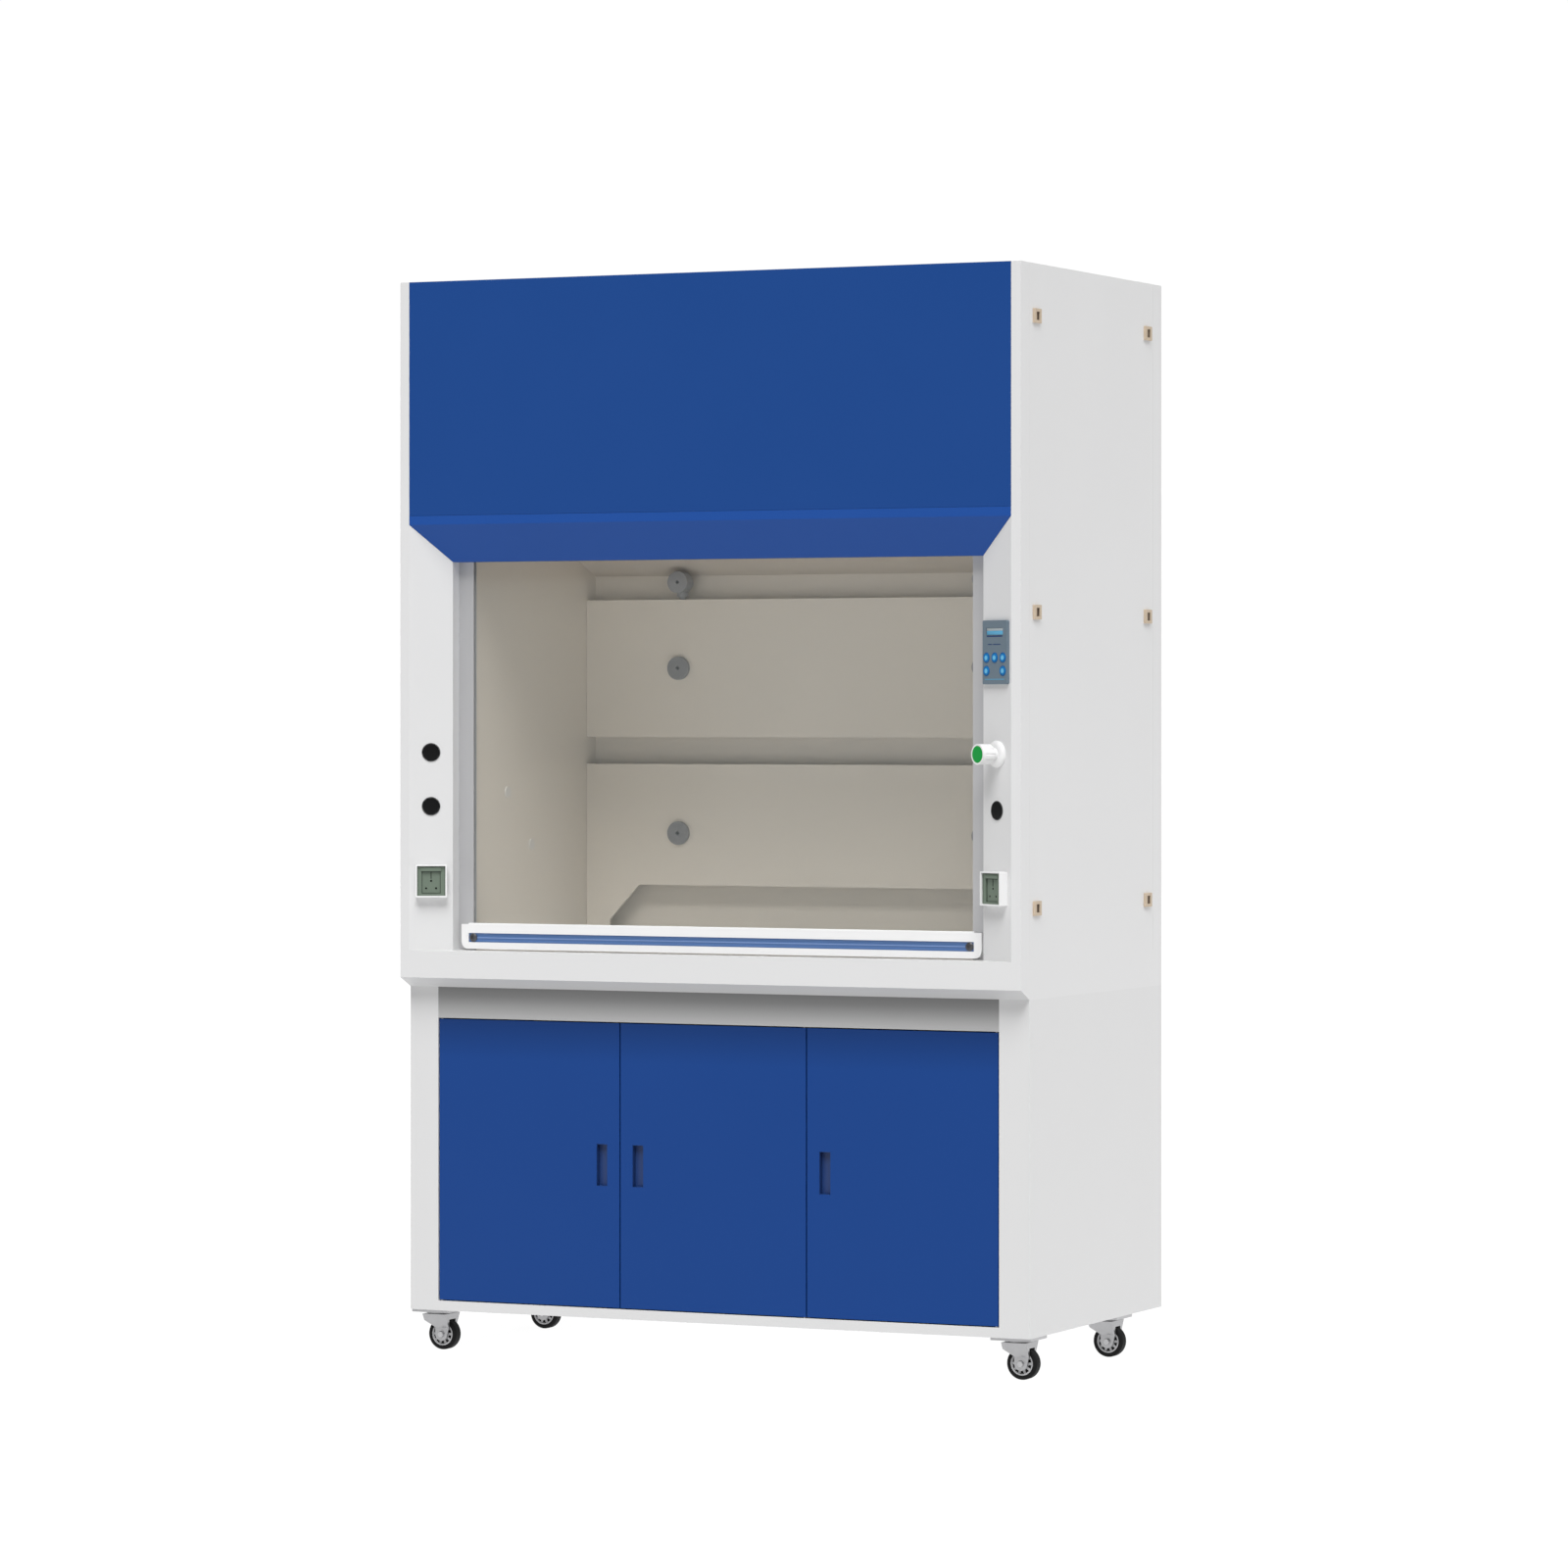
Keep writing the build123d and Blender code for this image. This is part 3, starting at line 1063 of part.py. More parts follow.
with BuildPart() as sash_handle:
    with BuildSketch(side_plane(-BAR_HALF)):
        with BuildLine():
            Polyline(
                (HANDLE_BACK, HANDLE_Z),
                (HANDLE_FRONT, HANDLE_Z),
                (HANDLE_FRONT, GROOVE_Z),
                (GROOVE_Y, GROOVE_Z),
                (GROOVE_Y, GROOVE_TOP),
                (HANDLE_FRONT, GROOVE_TOP),
                (HANDLE_FRONT, HANDLE_TOP - HANDLE_EDGE_ROUND),
            )
            RadiusArc(
                (HANDLE_FRONT, HANDLE_TOP - HANDLE_EDGE_ROUND),
                (HANDLE_FRONT + HANDLE_EDGE_ROUND, HANDLE_TOP),
                HANDLE_EDGE_ROUND,
            )
            Polyline(
                (HANDLE_FRONT + HANDLE_EDGE_ROUND, HANDLE_TOP),
                (HANDLE_BACK, HANDLE_TOP),
                (HANDLE_BACK, HANDLE_Z),
            )
        make_face()
    extrude(amount=BAR_HALF * 2)
    with BuildSketch(side_plane(-CLAMP_HALF)):
        Polygon(
            (HANDLE_BACK, HANDLE_Z),
            (CLAMP_BACK, HANDLE_Z),
            (CLAMP_BACK, CLAMP_TOP),
            (GLASS_Y + GLASS_THICK + CLEARANCE, CLAMP_TOP),
            (GLASS_Y + GLASS_THICK + CLEARANCE, HANDLE_Z + HANDLE_CLAMP_WALL),
            (GLASS_Y - CLEARANCE, HANDLE_Z + HANDLE_CLAMP_WALL),
            (GLASS_Y - CLEARANCE, CLAMP_TOP),
            (HANDLE_BACK, CLAMP_TOP),
            align=None,
        )
    extrude(amount=CLAMP_HALF * 2)
    for side in (-1, 1):
        with BuildSketch(front_plane(HANDLE_FRONT)):
            with BuildLine():
                Polyline(
                    (side * BAR_HALF, HANDLE_Z),
                    (side * BAR_HALF, HANDLE_TOP - HANDLE_EDGE_ROUND),
                    (side * HANDLE_HALF, HANDLE_TOP - HANDLE_EDGE_ROUND),
                    (side * HANDLE_HALF, HANDLE_Z + HANDLE_CAP_ROUND),
                )
                RadiusArc(
                    (side * HANDLE_HALF, HANDLE_Z + HANDLE_CAP_ROUND),
                    (side * (HANDLE_HALF - HANDLE_CAP_ROUND), HANDLE_Z),
                    side * HANDLE_CAP_ROUND,
                )
                Line((side * (HANDLE_HALF - HANDLE_CAP_ROUND), HANDLE_Z), (side * BAR_HALF, HANDLE_Z))
            make_face()
        extrude(amount=-(HANDLE_BACK - HANDLE_FRONT))
parts["sash_handle"] = sash_handle

INSERT_HALF = BAR_HALF
RIB_PITCH = HANDLE_GROOVE_HEIGHT / INSERT_RIBS
with BuildPart() as sash_handle_insert:
    with BuildSketch(front_plane(GROOVE_Y)):
        with Locations((0, (GROOVE_Z + GROOVE_TOP) / 2)):
            Rectangle(INSERT_HALF * 2, HANDLE_GROOVE_HEIGHT)
    extrude(amount=INSERT_BASE)
    with BuildSketch(front_plane(GROOVE_Y - INSERT_BASE)):
        with Locations((0, (GROOVE_Z + GROOVE_TOP) / 2)):
            with GridLocations(0, RIB_PITCH, 1, INSERT_RIBS):
                Rectangle(INSERT_HALF * 2, INSERT_RIB_WIDTH)
    extrude(amount=INSERT_RIB_PROUD)
parts["sash_handle_insert"] = sash_handle_insert

with BuildPart() as sash_glass:
    with BuildSketch(front_plane(GLASS_Y)):
        with Locations((0, (GLASS_BOTTOM + SASH_TOP) / 2)):
            Rectangle(GLASS_HALF * 2, SASH_TOP - GLASS_BOTTOM)
    extrude(amount=-GLASS_THICK)
parts["sash_glass"] = sash_glass

with BuildPart() as sash_top_rail:
    with BuildSketch(side_plane(-CLAMP_HALF)):
        Polygon(
            (GLASS_Y - TOP_RAIL_WALL, SASH_TOP - TOP_RAIL_HEIGHT),
            (GLASS_Y, SASH_TOP - TOP_RAIL_HEIGHT),
            (GLASS_Y, SASH_TOP),
            (GLASS_Y + GLASS_THICK, SASH_TOP),
            (GLASS_Y + GLASS_THICK, SASH_TOP - TOP_RAIL_HEIGHT),
            (GLASS_Y + GLASS_THICK + TOP_RAIL_WALL, SASH_TOP - TOP_RAIL_HEIGHT),
            (GLASS_Y + GLASS_THICK + TOP_RAIL_WALL, SASH_TOP + TOP_RAIL_WALL),
            (GLASS_Y - TOP_RAIL_WALL, SASH_TOP + TOP_RAIL_WALL),
            align=None,
        )
    extrude(amount=CLAMP_HALF * 2)
parts["sash_top_rail"] = sash_top_rail

# Counterweight behind the rear wall, and the cables over the pulleys
WEIGHT_TOP = PULLEY_Z - WEIGHT_DROP
with BuildPart() as counterweight:
    with BuildSketch(side_plane(-WEIGHT_HALF_LENGTH)):
        with Locations((WEIGHT_Y, WEIGHT_TOP - WEIGHT_HEIGHT / 2)):
            RectangleRounded(WEIGHT_THICK, WEIGHT_HEIGHT, TOP_RAIL_WALL)
    extrude(amount=WEIGHT_HALF_LENGTH * 2)
parts["counterweight"] = counterweight

with BuildPart() as sash_cable_runs:
    with BuildSketch(level(SASH_TOP + TOP_RAIL_WALL)):
        with Locations((-CABLE_X, GLASS_MID_Y), (CABLE_X, GLASS_MID_Y)):
            Circle(CABLE_RADIUS)
    extrude(amount=PULLEY_Z - CABLE_END_GAP - SASH_TOP - TOP_RAIL_WALL)
parts["sash_cable_runs"] = sash_cable_runs

with BuildPart() as counterweight_cable_runs:
    with BuildSketch(level(WEIGHT_TOP)):
        with Locations((-CABLE_X, WEIGHT_Y), (CABLE_X, WEIGHT_Y)):
            Circle(CABLE_RADIUS)
    extrude(amount=WEIGHT_DROP - CABLE_END_GAP)
parts["counterweight_cable_runs"] = counterweight_cable_runs

CABLE_TOP = PULLEY_Z + CABLE_PATH_RADIUS
with BuildPart() as overhead_cables:
    for x in (-CABLE_X, CABLE_X):
        with BuildLine(side_plane(x)):
            RadiusArc((GLASS_MID_Y, PULLEY_Z), (FRONT_PULLEY_Y, CABLE_TOP), CABLE_PATH_RADIUS)
            Line((FRONT_PULLEY_Y, CABLE_TOP), (REAR_PULLEY_Y, CABLE_TOP))
            RadiusArc((REAR_PULLEY_Y, CABLE_TOP), (WEIGHT_Y, PULLEY_Z), CABLE_PATH_RADIUS)
        with BuildSketch(level(PULLEY_Z)):
            with Locations((x, GLASS_MID_Y)):
                Circle(CABLE_RADIUS)
        sweep()
parts["overhead_cables"] = overhead_cables

# Casters: four top plates, and for each a flared fork that swivels and a wheel with hub holes
CASTER_X = HALF - CASTER_PLATE / 2
CASTER_FRONT_Y = CABINET_Y + CASTER_FRONT_OFFSET
CASTER_REAR_Y = BACK_Y - CASTER_REAR_OFFSET
CASTER_PLACES = {
    "front_left": (-CASTER_X, CASTER_FRONT_Y),
    "front_right": (CASTER_X, CASTER_FRONT_Y),
    "rear_left": (-CASTER_X, CASTER_REAR_Y),
    "rear_right": (CASTER_X, CASTER_REAR_Y),
}
with BuildPart() as caster_plates:
    with BuildSketch(level(PLATE_Z)):
        with Locations(*CASTER_PLACES.values()):
            RectangleRounded(CASTER_PLATE, CASTER_PLATE, FORK_SHEET)
        for place in CASTER_PLACES.values():
            with Locations(place):
                with GridLocations(PLATE_BOLT_PITCH, PLATE_BOLT_PITCH, 2, 2):
                    Circle(PLATE_BOLT_RADIUS, mode=Mode.SUBTRACT)
    extrude(amount=CASTER_PLATE_THICK)
    with BuildSketch(level(PLATE_Z)):
        with Locations(*CASTER_PLACES.values()):
            Circle(SWIVEL_RADIUS)
    extrude(amount=-SWIVEL_THICK)
parts["caster_plates"] = caster_plates

FORK_INNER = WHEEL_WIDTH / 2 + FORK_SIDE_GAP
FORK_WEB_FOOT = WHEEL_RADIUS + FORK_EAR_RADIUS


def caster_fork(x, y):
    """Pressed fork: flared cheeks joined by a crown and a front web, trimmed round the axle."""
    axle_x = x + CASTER_TRAIL
    knee = WHEEL_RADIUS + FORK_EAR_RADIUS
    crown_under = FORK_TOP - FORK_SHEET
    with BuildPart() as fork:
        with BuildSketch(side_plane(axle_x - FORK_BACK_REACH)):
            for side in (-1, 1):
                Polygon(
                    (y + side * FORK_INNER, 0),
                    (y + side * FORK_INNER, knee),
                    (y + side * (FORK_CROWN_HALF - FORK_SHEET), crown_under),
                    (y, crown_under),
                    (y, FORK_TOP),
                    (y + side * FORK_CROWN_HALF, FORK_TOP),
                    (y + side * (FORK_INNER + FORK_SHEET), knee),
                    (y + side * (FORK_INNER + FORK_SHEET), 0),
                    align=None,
                )
        extrude(amount=FORK_BACK_REACH + FORK_FRONT_REACH)
        with BuildSketch(side_plane(axle_x + FORK_FRONT_REACH - FORK_SHEET)):
            Polygon(
                (y - FORK_INNER, FORK_WEB_FOOT),
                (y - FORK_CROWN_HALF + FORK_SHEET, crown_under),
                (y + FORK_CROWN_HALF - FORK_SHEET, crown_under),
                (y + FORK_INNER, FORK_WEB_FOOT),
                align=None,
            )
        extrude(amount=FORK_SHEET)
        with BuildSketch(front_plane(y - FORK_CROWN_HALF)):
            with BuildLine():
                Polyline(
                    (axle_x + FORK_EAR_RADIUS, WHEEL_RADIUS),
                    (axle_x + FORK_FRONT_REACH, knee),
                    (axle_x + FORK_FRONT_REACH, FORK_TOP),
                    (axle_x - FORK_BACK_REACH, FORK_TOP),
                    (axle_x - FORK_BACK_REACH, FORK_TOP - FORK_EAR_RADIUS),
                    (axle_x - FORK_EAR_RADIUS, WHEEL_RADIUS + FORK_EAR_RADIUS),
                    (axle_x - FORK_EAR_RADIUS, WHEEL_RADIUS),
                )
                ThreePointArc(
                    (axle_x - FORK_EAR_RADIUS, WHEEL_RADIUS),
                    (axle_x, WHEEL_RADIUS - FORK_EAR_RADIUS),
                    (axle_x + FORK_EAR_RADIUS, WHEEL_RADIUS),
                )
            make_face()
        extrude(amount=-FORK_CROWN_HALF * 2, mode=Mode.INTERSECT)
        with BuildSketch(front_plane(y - FORK_INNER)):
            with Locations((axle_x, WHEEL_RADIUS)):
                Circle(WHEEL_RADIUS + FORK_SHEET)
        extrude(amount=-FORK_INNER * 2, mode=Mode.SUBTRACT)
        with BuildSketch(front_plane(y - FORK_INNER - FORK_SHEET - AXLE_HEAD)):
            with Locations((axle_x, WHEEL_RADIUS)):
                Circle(AXLE_HEAD_RADIUS)
        extrude(amount=-AXLE_HEAD)
        with BuildSketch(front_plane(y + FORK_INNER + FORK_SHEET)):
            with Locations((axle_x, WHEEL_RADIUS)):
                Circle(AXLE_HEAD_RADIUS)
        extrude(amount=-AXLE_HEAD)
        with BuildSketch(front_plane(y - FORK_INNER)):
            with Locations((axle_x, WHEEL_RADIUS)):
                Circle(AXLE_RADIUS)
        extrude(amount=-FORK_INNER * 2)
    return fork


def caster_wheel(x, y):
    """Wheel with a rubber tyre and a recessed hub disc pierced by a ring of holes."""
    axle_x = x + CASTER_TRAIL
    half = WHEEL_WIDTH / 2
    hub_radius = WHEEL_RADIUS - TYRE_THICK
    bore = AXLE_RADIUS + AXLE_CLEARANCE
    with BuildPart() as wheel:
        with BuildSketch(Plane(origin=(axle_x, y, WHEEL_RADIUS), x_dir=(1, 0, 0), z_dir=(0, 0, 1))):
            with BuildLine():
                Polyline(
                    (bore, -half),
                    (AXLE_HEAD_RADIUS + HUB_RECESS, -half),
                    (AXLE_HEAD_RADIUS + HUB_RECESS * 2, -half + HUB_RECESS),
                    (hub_radius - HUB_RECESS, -half + HUB_RECESS),
                    (hub_radius, -half),
                    (WHEEL_RADIUS - TYRE_ROUND, -half),
                    (WHEEL_RADIUS, -half + TYRE_ROUND),
                    (WHEEL_RADIUS, half - TYRE_ROUND),
                    (WHEEL_RADIUS - TYRE_ROUND, half),
                    (hub_radius, half),
                    (hub_radius - HUB_RECESS, half - HUB_RECESS),
                    (AXLE_HEAD_RADIUS + HUB_RECESS * 2, half - HUB_RECESS),
                    (AXLE_HEAD_RADIUS + HUB_RECESS, half),
                    (bore, half),
                    close=True,
                )
            make_face()
        revolve(axis=Axis((axle_x, y, WHEEL_RADIUS), (0, 1, 0)))
        with BuildSketch(front_plane(y - half)):
            with Locations((axle_x, WHEEL_RADIUS)):
                with PolarLocations(hub_radius - HUB_HOLE_INSET, HUB_HOLES):
                    Circle(HUB_HOLE_RADIUS)
        extrude(amount=-WHEEL_WIDTH, mode=Mode.SUBTRACT)
    return wheel


for corner, (x, y) in CASTER_PLACES.items():
    parts[f"{corner}_fork"] = caster_fork(x, y)
    parts[f"{corner}_wheel"] = caster_wheel(x, y)

os.makedirs("parts", exist_ok=True)
for name, piece in parts.items():
    piece.part.label = name
    export_step(piece.part, f"parts/{name}.step")
print("nodes", len(parts))
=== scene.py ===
"""Fume hood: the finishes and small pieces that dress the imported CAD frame, in metres."""

import json
import math
from itertools import product

import bmesh
import bpy
from mathutils import Matrix, Vector


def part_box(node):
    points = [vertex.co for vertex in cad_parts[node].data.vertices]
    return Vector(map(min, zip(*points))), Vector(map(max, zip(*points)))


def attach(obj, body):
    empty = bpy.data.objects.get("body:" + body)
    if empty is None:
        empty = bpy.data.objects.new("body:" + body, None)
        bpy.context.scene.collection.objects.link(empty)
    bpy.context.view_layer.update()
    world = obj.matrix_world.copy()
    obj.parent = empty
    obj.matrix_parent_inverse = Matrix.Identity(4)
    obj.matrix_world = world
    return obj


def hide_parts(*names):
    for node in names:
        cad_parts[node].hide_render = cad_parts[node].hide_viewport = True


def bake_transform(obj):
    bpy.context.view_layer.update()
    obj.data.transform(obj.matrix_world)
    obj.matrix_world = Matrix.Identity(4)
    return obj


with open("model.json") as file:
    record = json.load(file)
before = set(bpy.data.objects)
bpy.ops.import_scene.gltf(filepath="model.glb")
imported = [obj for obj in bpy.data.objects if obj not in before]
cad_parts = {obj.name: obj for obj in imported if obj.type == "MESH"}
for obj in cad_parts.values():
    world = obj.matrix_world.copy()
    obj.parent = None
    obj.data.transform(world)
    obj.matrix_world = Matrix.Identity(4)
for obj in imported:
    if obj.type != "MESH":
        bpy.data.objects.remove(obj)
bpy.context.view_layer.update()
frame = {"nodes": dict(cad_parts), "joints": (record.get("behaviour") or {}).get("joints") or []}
NODES = frame["nodes"]
scene = bpy.context.scene

# places read from the frame
WORKTOP_LO, WORKTOP_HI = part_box("worktop_frame")
VALVE_JOINT = next(j for j in frame["joints"] if j["name"] == "valve_turn")
FACE_NORMAL = Vector(VALVE_JOINT["axis"]).normalized()
FACE_POINT = Vector(VALVE_JOINT["pos_m"])
UP = Vector((0, 0, 1))
RIGHT = Vector((1, 0, 0))
FRONT = Vector((0, -1, 0))

# what every finish shares
COAT_ROUGHNESS = 0.12
GRAIN_DEPTH = 0.0006
GLOSS_DROP, GLOSS_RISE, LEAST_ROUGHNESS = 0.05, 0.07, 0.02
SMEAR_RISE = 2.5
DUST_GREY = 0.35
SPECK_LEVELS = (0.62, 0.7)
DUST_LEVELS = (0.5, 0.78)


# materials
def node(tree, kind, **inputs):
    """New shader node with some inputs set: an underscore stands for a space."""
    made = tree.nodes.new(kind)
    for key, value in inputs.items():
        made.inputs[key.replace("_", " ")].default_value = value
    return made


def rgba(colour, alpha=1.0):
    return (*colour, alpha)


def srgb(r, g, b):
    """Linear colour from the eye's 0 to 255 scale, by the sRGB standard's curve."""
    return tuple(
        ((c / 255 + 0.055) / 1.055) ** 2.4 if c > 10 else c / 255 / 12.92 for c in (r, g, b)
    )


def patches(tree, noise, levels):
    """Patches of a noise, with soft edges between two of its levels."""
    made = tree.nodes.new("ShaderNodeValToRGB")
    for element, level in zip(made.color_ramp.elements, levels):
        element.position = level
    tree.links.new(noise.outputs["Fac"], made.inputs["Fac"])
    return made.outputs["Color"]


def laid_over(tree, under, over, factor):
    """Mixes the colour `over` onto the output `under`, as far as the output `factor` says."""
    mix = tree.nodes.new("ShaderNodeMix")
    mix.data_type = "RGBA"
    mix.inputs["B"].default_value = rgba(over)
    tree.links.new(factor, mix.inputs["Factor"])
    tree.links.new(under, mix.inputs["A"])
    return mix.outputs["Result"]


def surface(
    name,
    colour,
    roughness,
    metallic=0.0,
    specular=0.5,
    coat=0.0,
    grain=900.0,
    bump=0.05,
    tint=0.03,
    cloud=3.0,
    wear=0.0,
    stretch=(1, 1, 1),
    speck=0.0,
    painted_shade_from=None,
    painted_shade_to=0.5,
):
    """A painted, moulded or metal surface: fine grain in the bump, clouds in colour and gloss.

    speck, wear and painted_shade_from add darker specks, dust, and a painted shade, standing in
    for the shadow under an overhang, that starts at that share of the piece's height and reaches
    painted_shade_to of the colour at its top.
    """
    made = bpy.data.materials.new(name)
    made.use_nodes = True
    made.diffuse_color = rgba(colour)
    tree = made.node_tree
    links = tree.links
    shader = tree.nodes["Principled BSDF"]
    shader.inputs["Metallic"].default_value = metallic
    shader.inputs["Specular IOR Level"].default_value = specular
    shader.inputs["Coat Weight"].default_value = coat
    shader.inputs["Coat Roughness"].default_value = COAT_ROUGHNESS
    place = tree.nodes.new("ShaderNodeTexCoord")
    mapping = tree.nodes.new("ShaderNodeMapping")
    mapping.inputs["Scale"].default_value = stretch
    links.new(place.outputs["Object"], mapping.inputs["Vector"])

    clouds = node(tree, "ShaderNodeTexNoise", Scale=cloud, Detail=5.0, Roughness=0.6)
    links.new(place.outputs["Object"], clouds.inputs["Vector"])
    shade = tree.nodes.new("ShaderNodeMix")
    shade.data_type = "RGBA"
    shade.inputs["A"].default_value = rgba(tuple(c * (1 - tint) for c in colour))
    shade.inputs["B"].default_value = rgba(tuple(min(c * (1 + tint), 1.0) for c in colour))
    links.new(clouds.outputs["Fac"], shade.inputs["Factor"])
    colour_out = shade.outputs["Result"]

    fine = node(tree, "ShaderNodeTexNoise", Scale=grain, Detail=3.0, Roughness=0.55)
    links.new(mapping.outputs["Vector"], fine.inputs["Vector"])
    if speck:
        darker = tuple(c * (1 - speck) for c in colour)
        colour_out = laid_over(tree, colour_out, darker, patches(tree, fine, SPECK_LEVELS))
    if wear:
        dust = node(tree, "ShaderNodeTexNoise", Scale=14.0, Detail=8.0, Roughness=0.75)
        links.new(place.outputs["Object"], dust.inputs["Vector"])
        dusty = tuple(c * (1 - wear) + DUST_GREY * wear for c in colour)
        colour_out = laid_over(tree, colour_out, dusty, patches(tree, dust, DUST_LEVELS))
    # painted shade: the colour darkens towards the piece's top, standing in for the shadow under
    # an overhang
    if painted_shade_from is not None:
        height = tree.nodes.new("ShaderNodeSeparateXYZ")
        links.new(place.outputs["Generated"], height.inputs[0])
        span = node(tree, "ShaderNodeMapRange", From_Min=painted_shade_from, From_Max=1.0)
        links.new(height.outputs["Z"], span.inputs["Value"])
        painted_shade_colour = tuple(c * painted_shade_to for c in colour)
        colour_out = laid_over(tree, colour_out, painted_shade_colour, span.outputs["Result"])
    links.new(colour_out, shader.inputs["Base Color"])

    low, high = max(roughness - GLOSS_DROP, LEAST_ROUGHNESS), min(roughness + GLOSS_RISE, 1.0)
    gloss = node(tree, "ShaderNodeMapRange", To_Min=low, To_Max=high)
    links.new(clouds.outputs["Fac"], gloss.inputs["Value"])
    links.new(gloss.outputs["Result"], shader.inputs["Roughness"])
    relief = node(tree, "ShaderNodeBump", Strength=bump, Distance=GRAIN_DEPTH)
    links.new(fine.outputs["Fac"], relief.inputs["Height"])
    links.new(relief.outputs["Normal"], shader.inputs["Normal"])
    return made


def clear_glass(name, colour, alpha, roughness):
    """Thin sheet glass: nearly clear, with a faint smear in its gloss."""
    made = bpy.data.materials.new(name)
    made.use_nodes = True
    made.diffuse_color = rgba(colour, alpha)
    tree = made.node_tree
    shader = tree.nodes["Principled BSDF"]
    shader.inputs["Base Color"].default_value = rgba(colour)
    shader.inputs["Alpha"].default_value = alpha
    shader.inputs["Specular IOR Level"].default_value = 0.5
    place = tree.nodes.new("ShaderNodeTexCoord")
    smear = node(tree, "ShaderNodeTexNoise", Scale=6.0, Detail=4.0)
    tree.links.new(place.outputs["Object"], smear.inputs["Vector"])
    gloss = node(tree, "ShaderNodeMapRange", To_Min=roughness, To_Max=roughness * SMEAR_RISE)
    tree.links.new(smear.outputs["Fac"], gloss.inputs["Value"])
    tree.links.new(gloss.outputs["Result"], shader.inputs["Roughness"])
    return made


POWDER = {"tint": 0.012, "bump": 0.06, "grain": 1100}
WHITE = surface("white_powder_coat", (0.745, 0.745, 0.748), 0.42, **POWDER)
WHITE_CABINET = surface("white_powder_coat_cabinet", (0.72, 0.72, 0.722), 0.42, **POWDER)
# the header is painted darker than the rest of the cabinet, and darker still towards its top:
# painted shade standing in for the shadow under the worktop's overhang
HEADER_PAINTED_SHADE = surface(
    "white_powder_coat_header_painted_shade", (0.46, 0.46, 0.46), 0.45, painted_shade_from=0.9, painted_shade_to=0.42, **POWDER
)

BLUE_COAT = {"roughness": 0.38, "tint": 0.025, "bump": 0.07, "grain": 1000}
BLUE = surface("blue_powder_coat", (0.0075, 0.060, 0.262), specular=0.18, **BLUE_COAT)
# the beak's blue is lighter than the panel's: painted light, for the light its downward face
# catches from the bright floor
BLUE_BEAK_PAINTED_LIGHT = surface("blue_powder_coat_beak_painted_light", (0.0105, 0.075, 0.34), specular=0.18, **BLUE_COAT)
# the doors' blue darkens towards their tops: painted shade standing in for the shadow under the
# worktop's overhang
BLUE_DOOR_TOP_SHADED = surface(
    "blue_powder_coat_door_painted_top_shade",
    (0.006, 0.053, 0.248),
    specular=0.16,
    painted_shade_from=0.86,
    painted_shade_to=0.7,
    **BLUE_COAT,
)
# darker blue for the pull cups' lining: painted shade inside the recess
BLUE_PULL_SHADE = surface("blue_pull_cup_painted_shade", srgb(24, 56, 112), 0.42)

RESIN = {"roughness": 0.34, "bump": 0.04, "grain": 380, "cloud": 2.0, "coat": 0.12}
LINER = surface("resin_liner", (0.76, 0.70, 0.61), tint=0.03, **RESIN)
BAFFLE = surface("resin_baffle", (0.82, 0.755, 0.655), tint=0.02, **RESIN)
SLAB = surface(
    "ceramic_worktop",
    (0.84, 0.84, 0.835),
    0.3,
    coat=0.2,
    grain=420,
    bump=0.03,
    tint=0.02,
    speck=0.08,
)

TRACK = surface(
    "satin_track", (0.50, 0.50, 0.51), 0.36, metallic=0.35, grain=260, stretch=(8, 8, 0.4)
)
ZINC = surface(
    "galvanised_sheet",
    (0.52, 0.53, 0.54),
    0.38,
    metallic=0.85,
    grain=500,
    bump=0.08,
    tint=0.12,
    cloud=26,
)
STEEL = surface(
    "zinc_plated_steel", (0.50, 0.50, 0.51), 0.33, metallic=0.8, bump=0.06, tint=0.08, cloud=40
)
FORK = surface(
    "pressed_fork_steel",
    (0.46, 0.46, 0.47),
    0.3,
    metallic=0.75,
    grain=800,
    bump=0.08,
    tint=0.1,
    cloud=60,
)
IRON = surface(
    "counterweight_iron",
    (0.06, 0.06, 0.062),
    0.6,
    metallic=0.4,
    grain=300,
    bump=0.3,
    tint=0.15,
    cloud=30,
)
CABLE = surface(
    "wire_cable",
    (0.32, 0.32, 0.33),
    0.35,
    metallic=0.9,
    grain=1600,
    bump=0.3,
    tint=0.2,
    cloud=400,
    stretch=(1, 1, 0.5),
)
SCREW = surface("dark_screw_head", (0.10, 0.10, 0.105), 0.35, metallic=0.6, bump=0.08, tint=0.1)
SCREW_BRIGHT = surface("bright_screw_head", (0.55, 0.55, 0.56), 0.28, metallic=0.85, tint=0.08)

BAR = surface("white_sash_bar", (0.88, 0.88, 0.88), 0.33, coat=0.15, bump=0.04, tint=0.01)
RIBS = surface("blue_grip_insert", srgb(86, 124, 180), 0.45, grain=700, bump=0.06)
RIBS_LIGHT = surface("pale_blue_grip_band", srgb(120, 150, 200), 0.4)
# black plastic for the plugs; on the hubs the same black is painted shade in the windows
BLACK_PLASTIC_AND_HOLE_SHADE = surface(
    "black_plug_plastic_and_hub_window_shade", (0.006, 0.006, 0.0065), 0.38, specular=0.12, bump=0.08, tint=0.1
)
RIM = surface("plug_rim_plastic", (0.30, 0.30, 0.30), 0.4, tint=0.05)
PLASTIC = surface(
    "white_moulded_plastic", (0.88, 0.88, 0.88), 0.28, coat=0.25, grain=1500, bump=0.03, tint=0.012
)
SOCKET = surface("grey_green_socket_face", srgb(112, 126, 112), 0.35, specular=0.25)
SOCKET_WELL = surface("socket_well_shadow", srgb(62, 72, 62), 0.45, specular=0.2, bump=0.04)
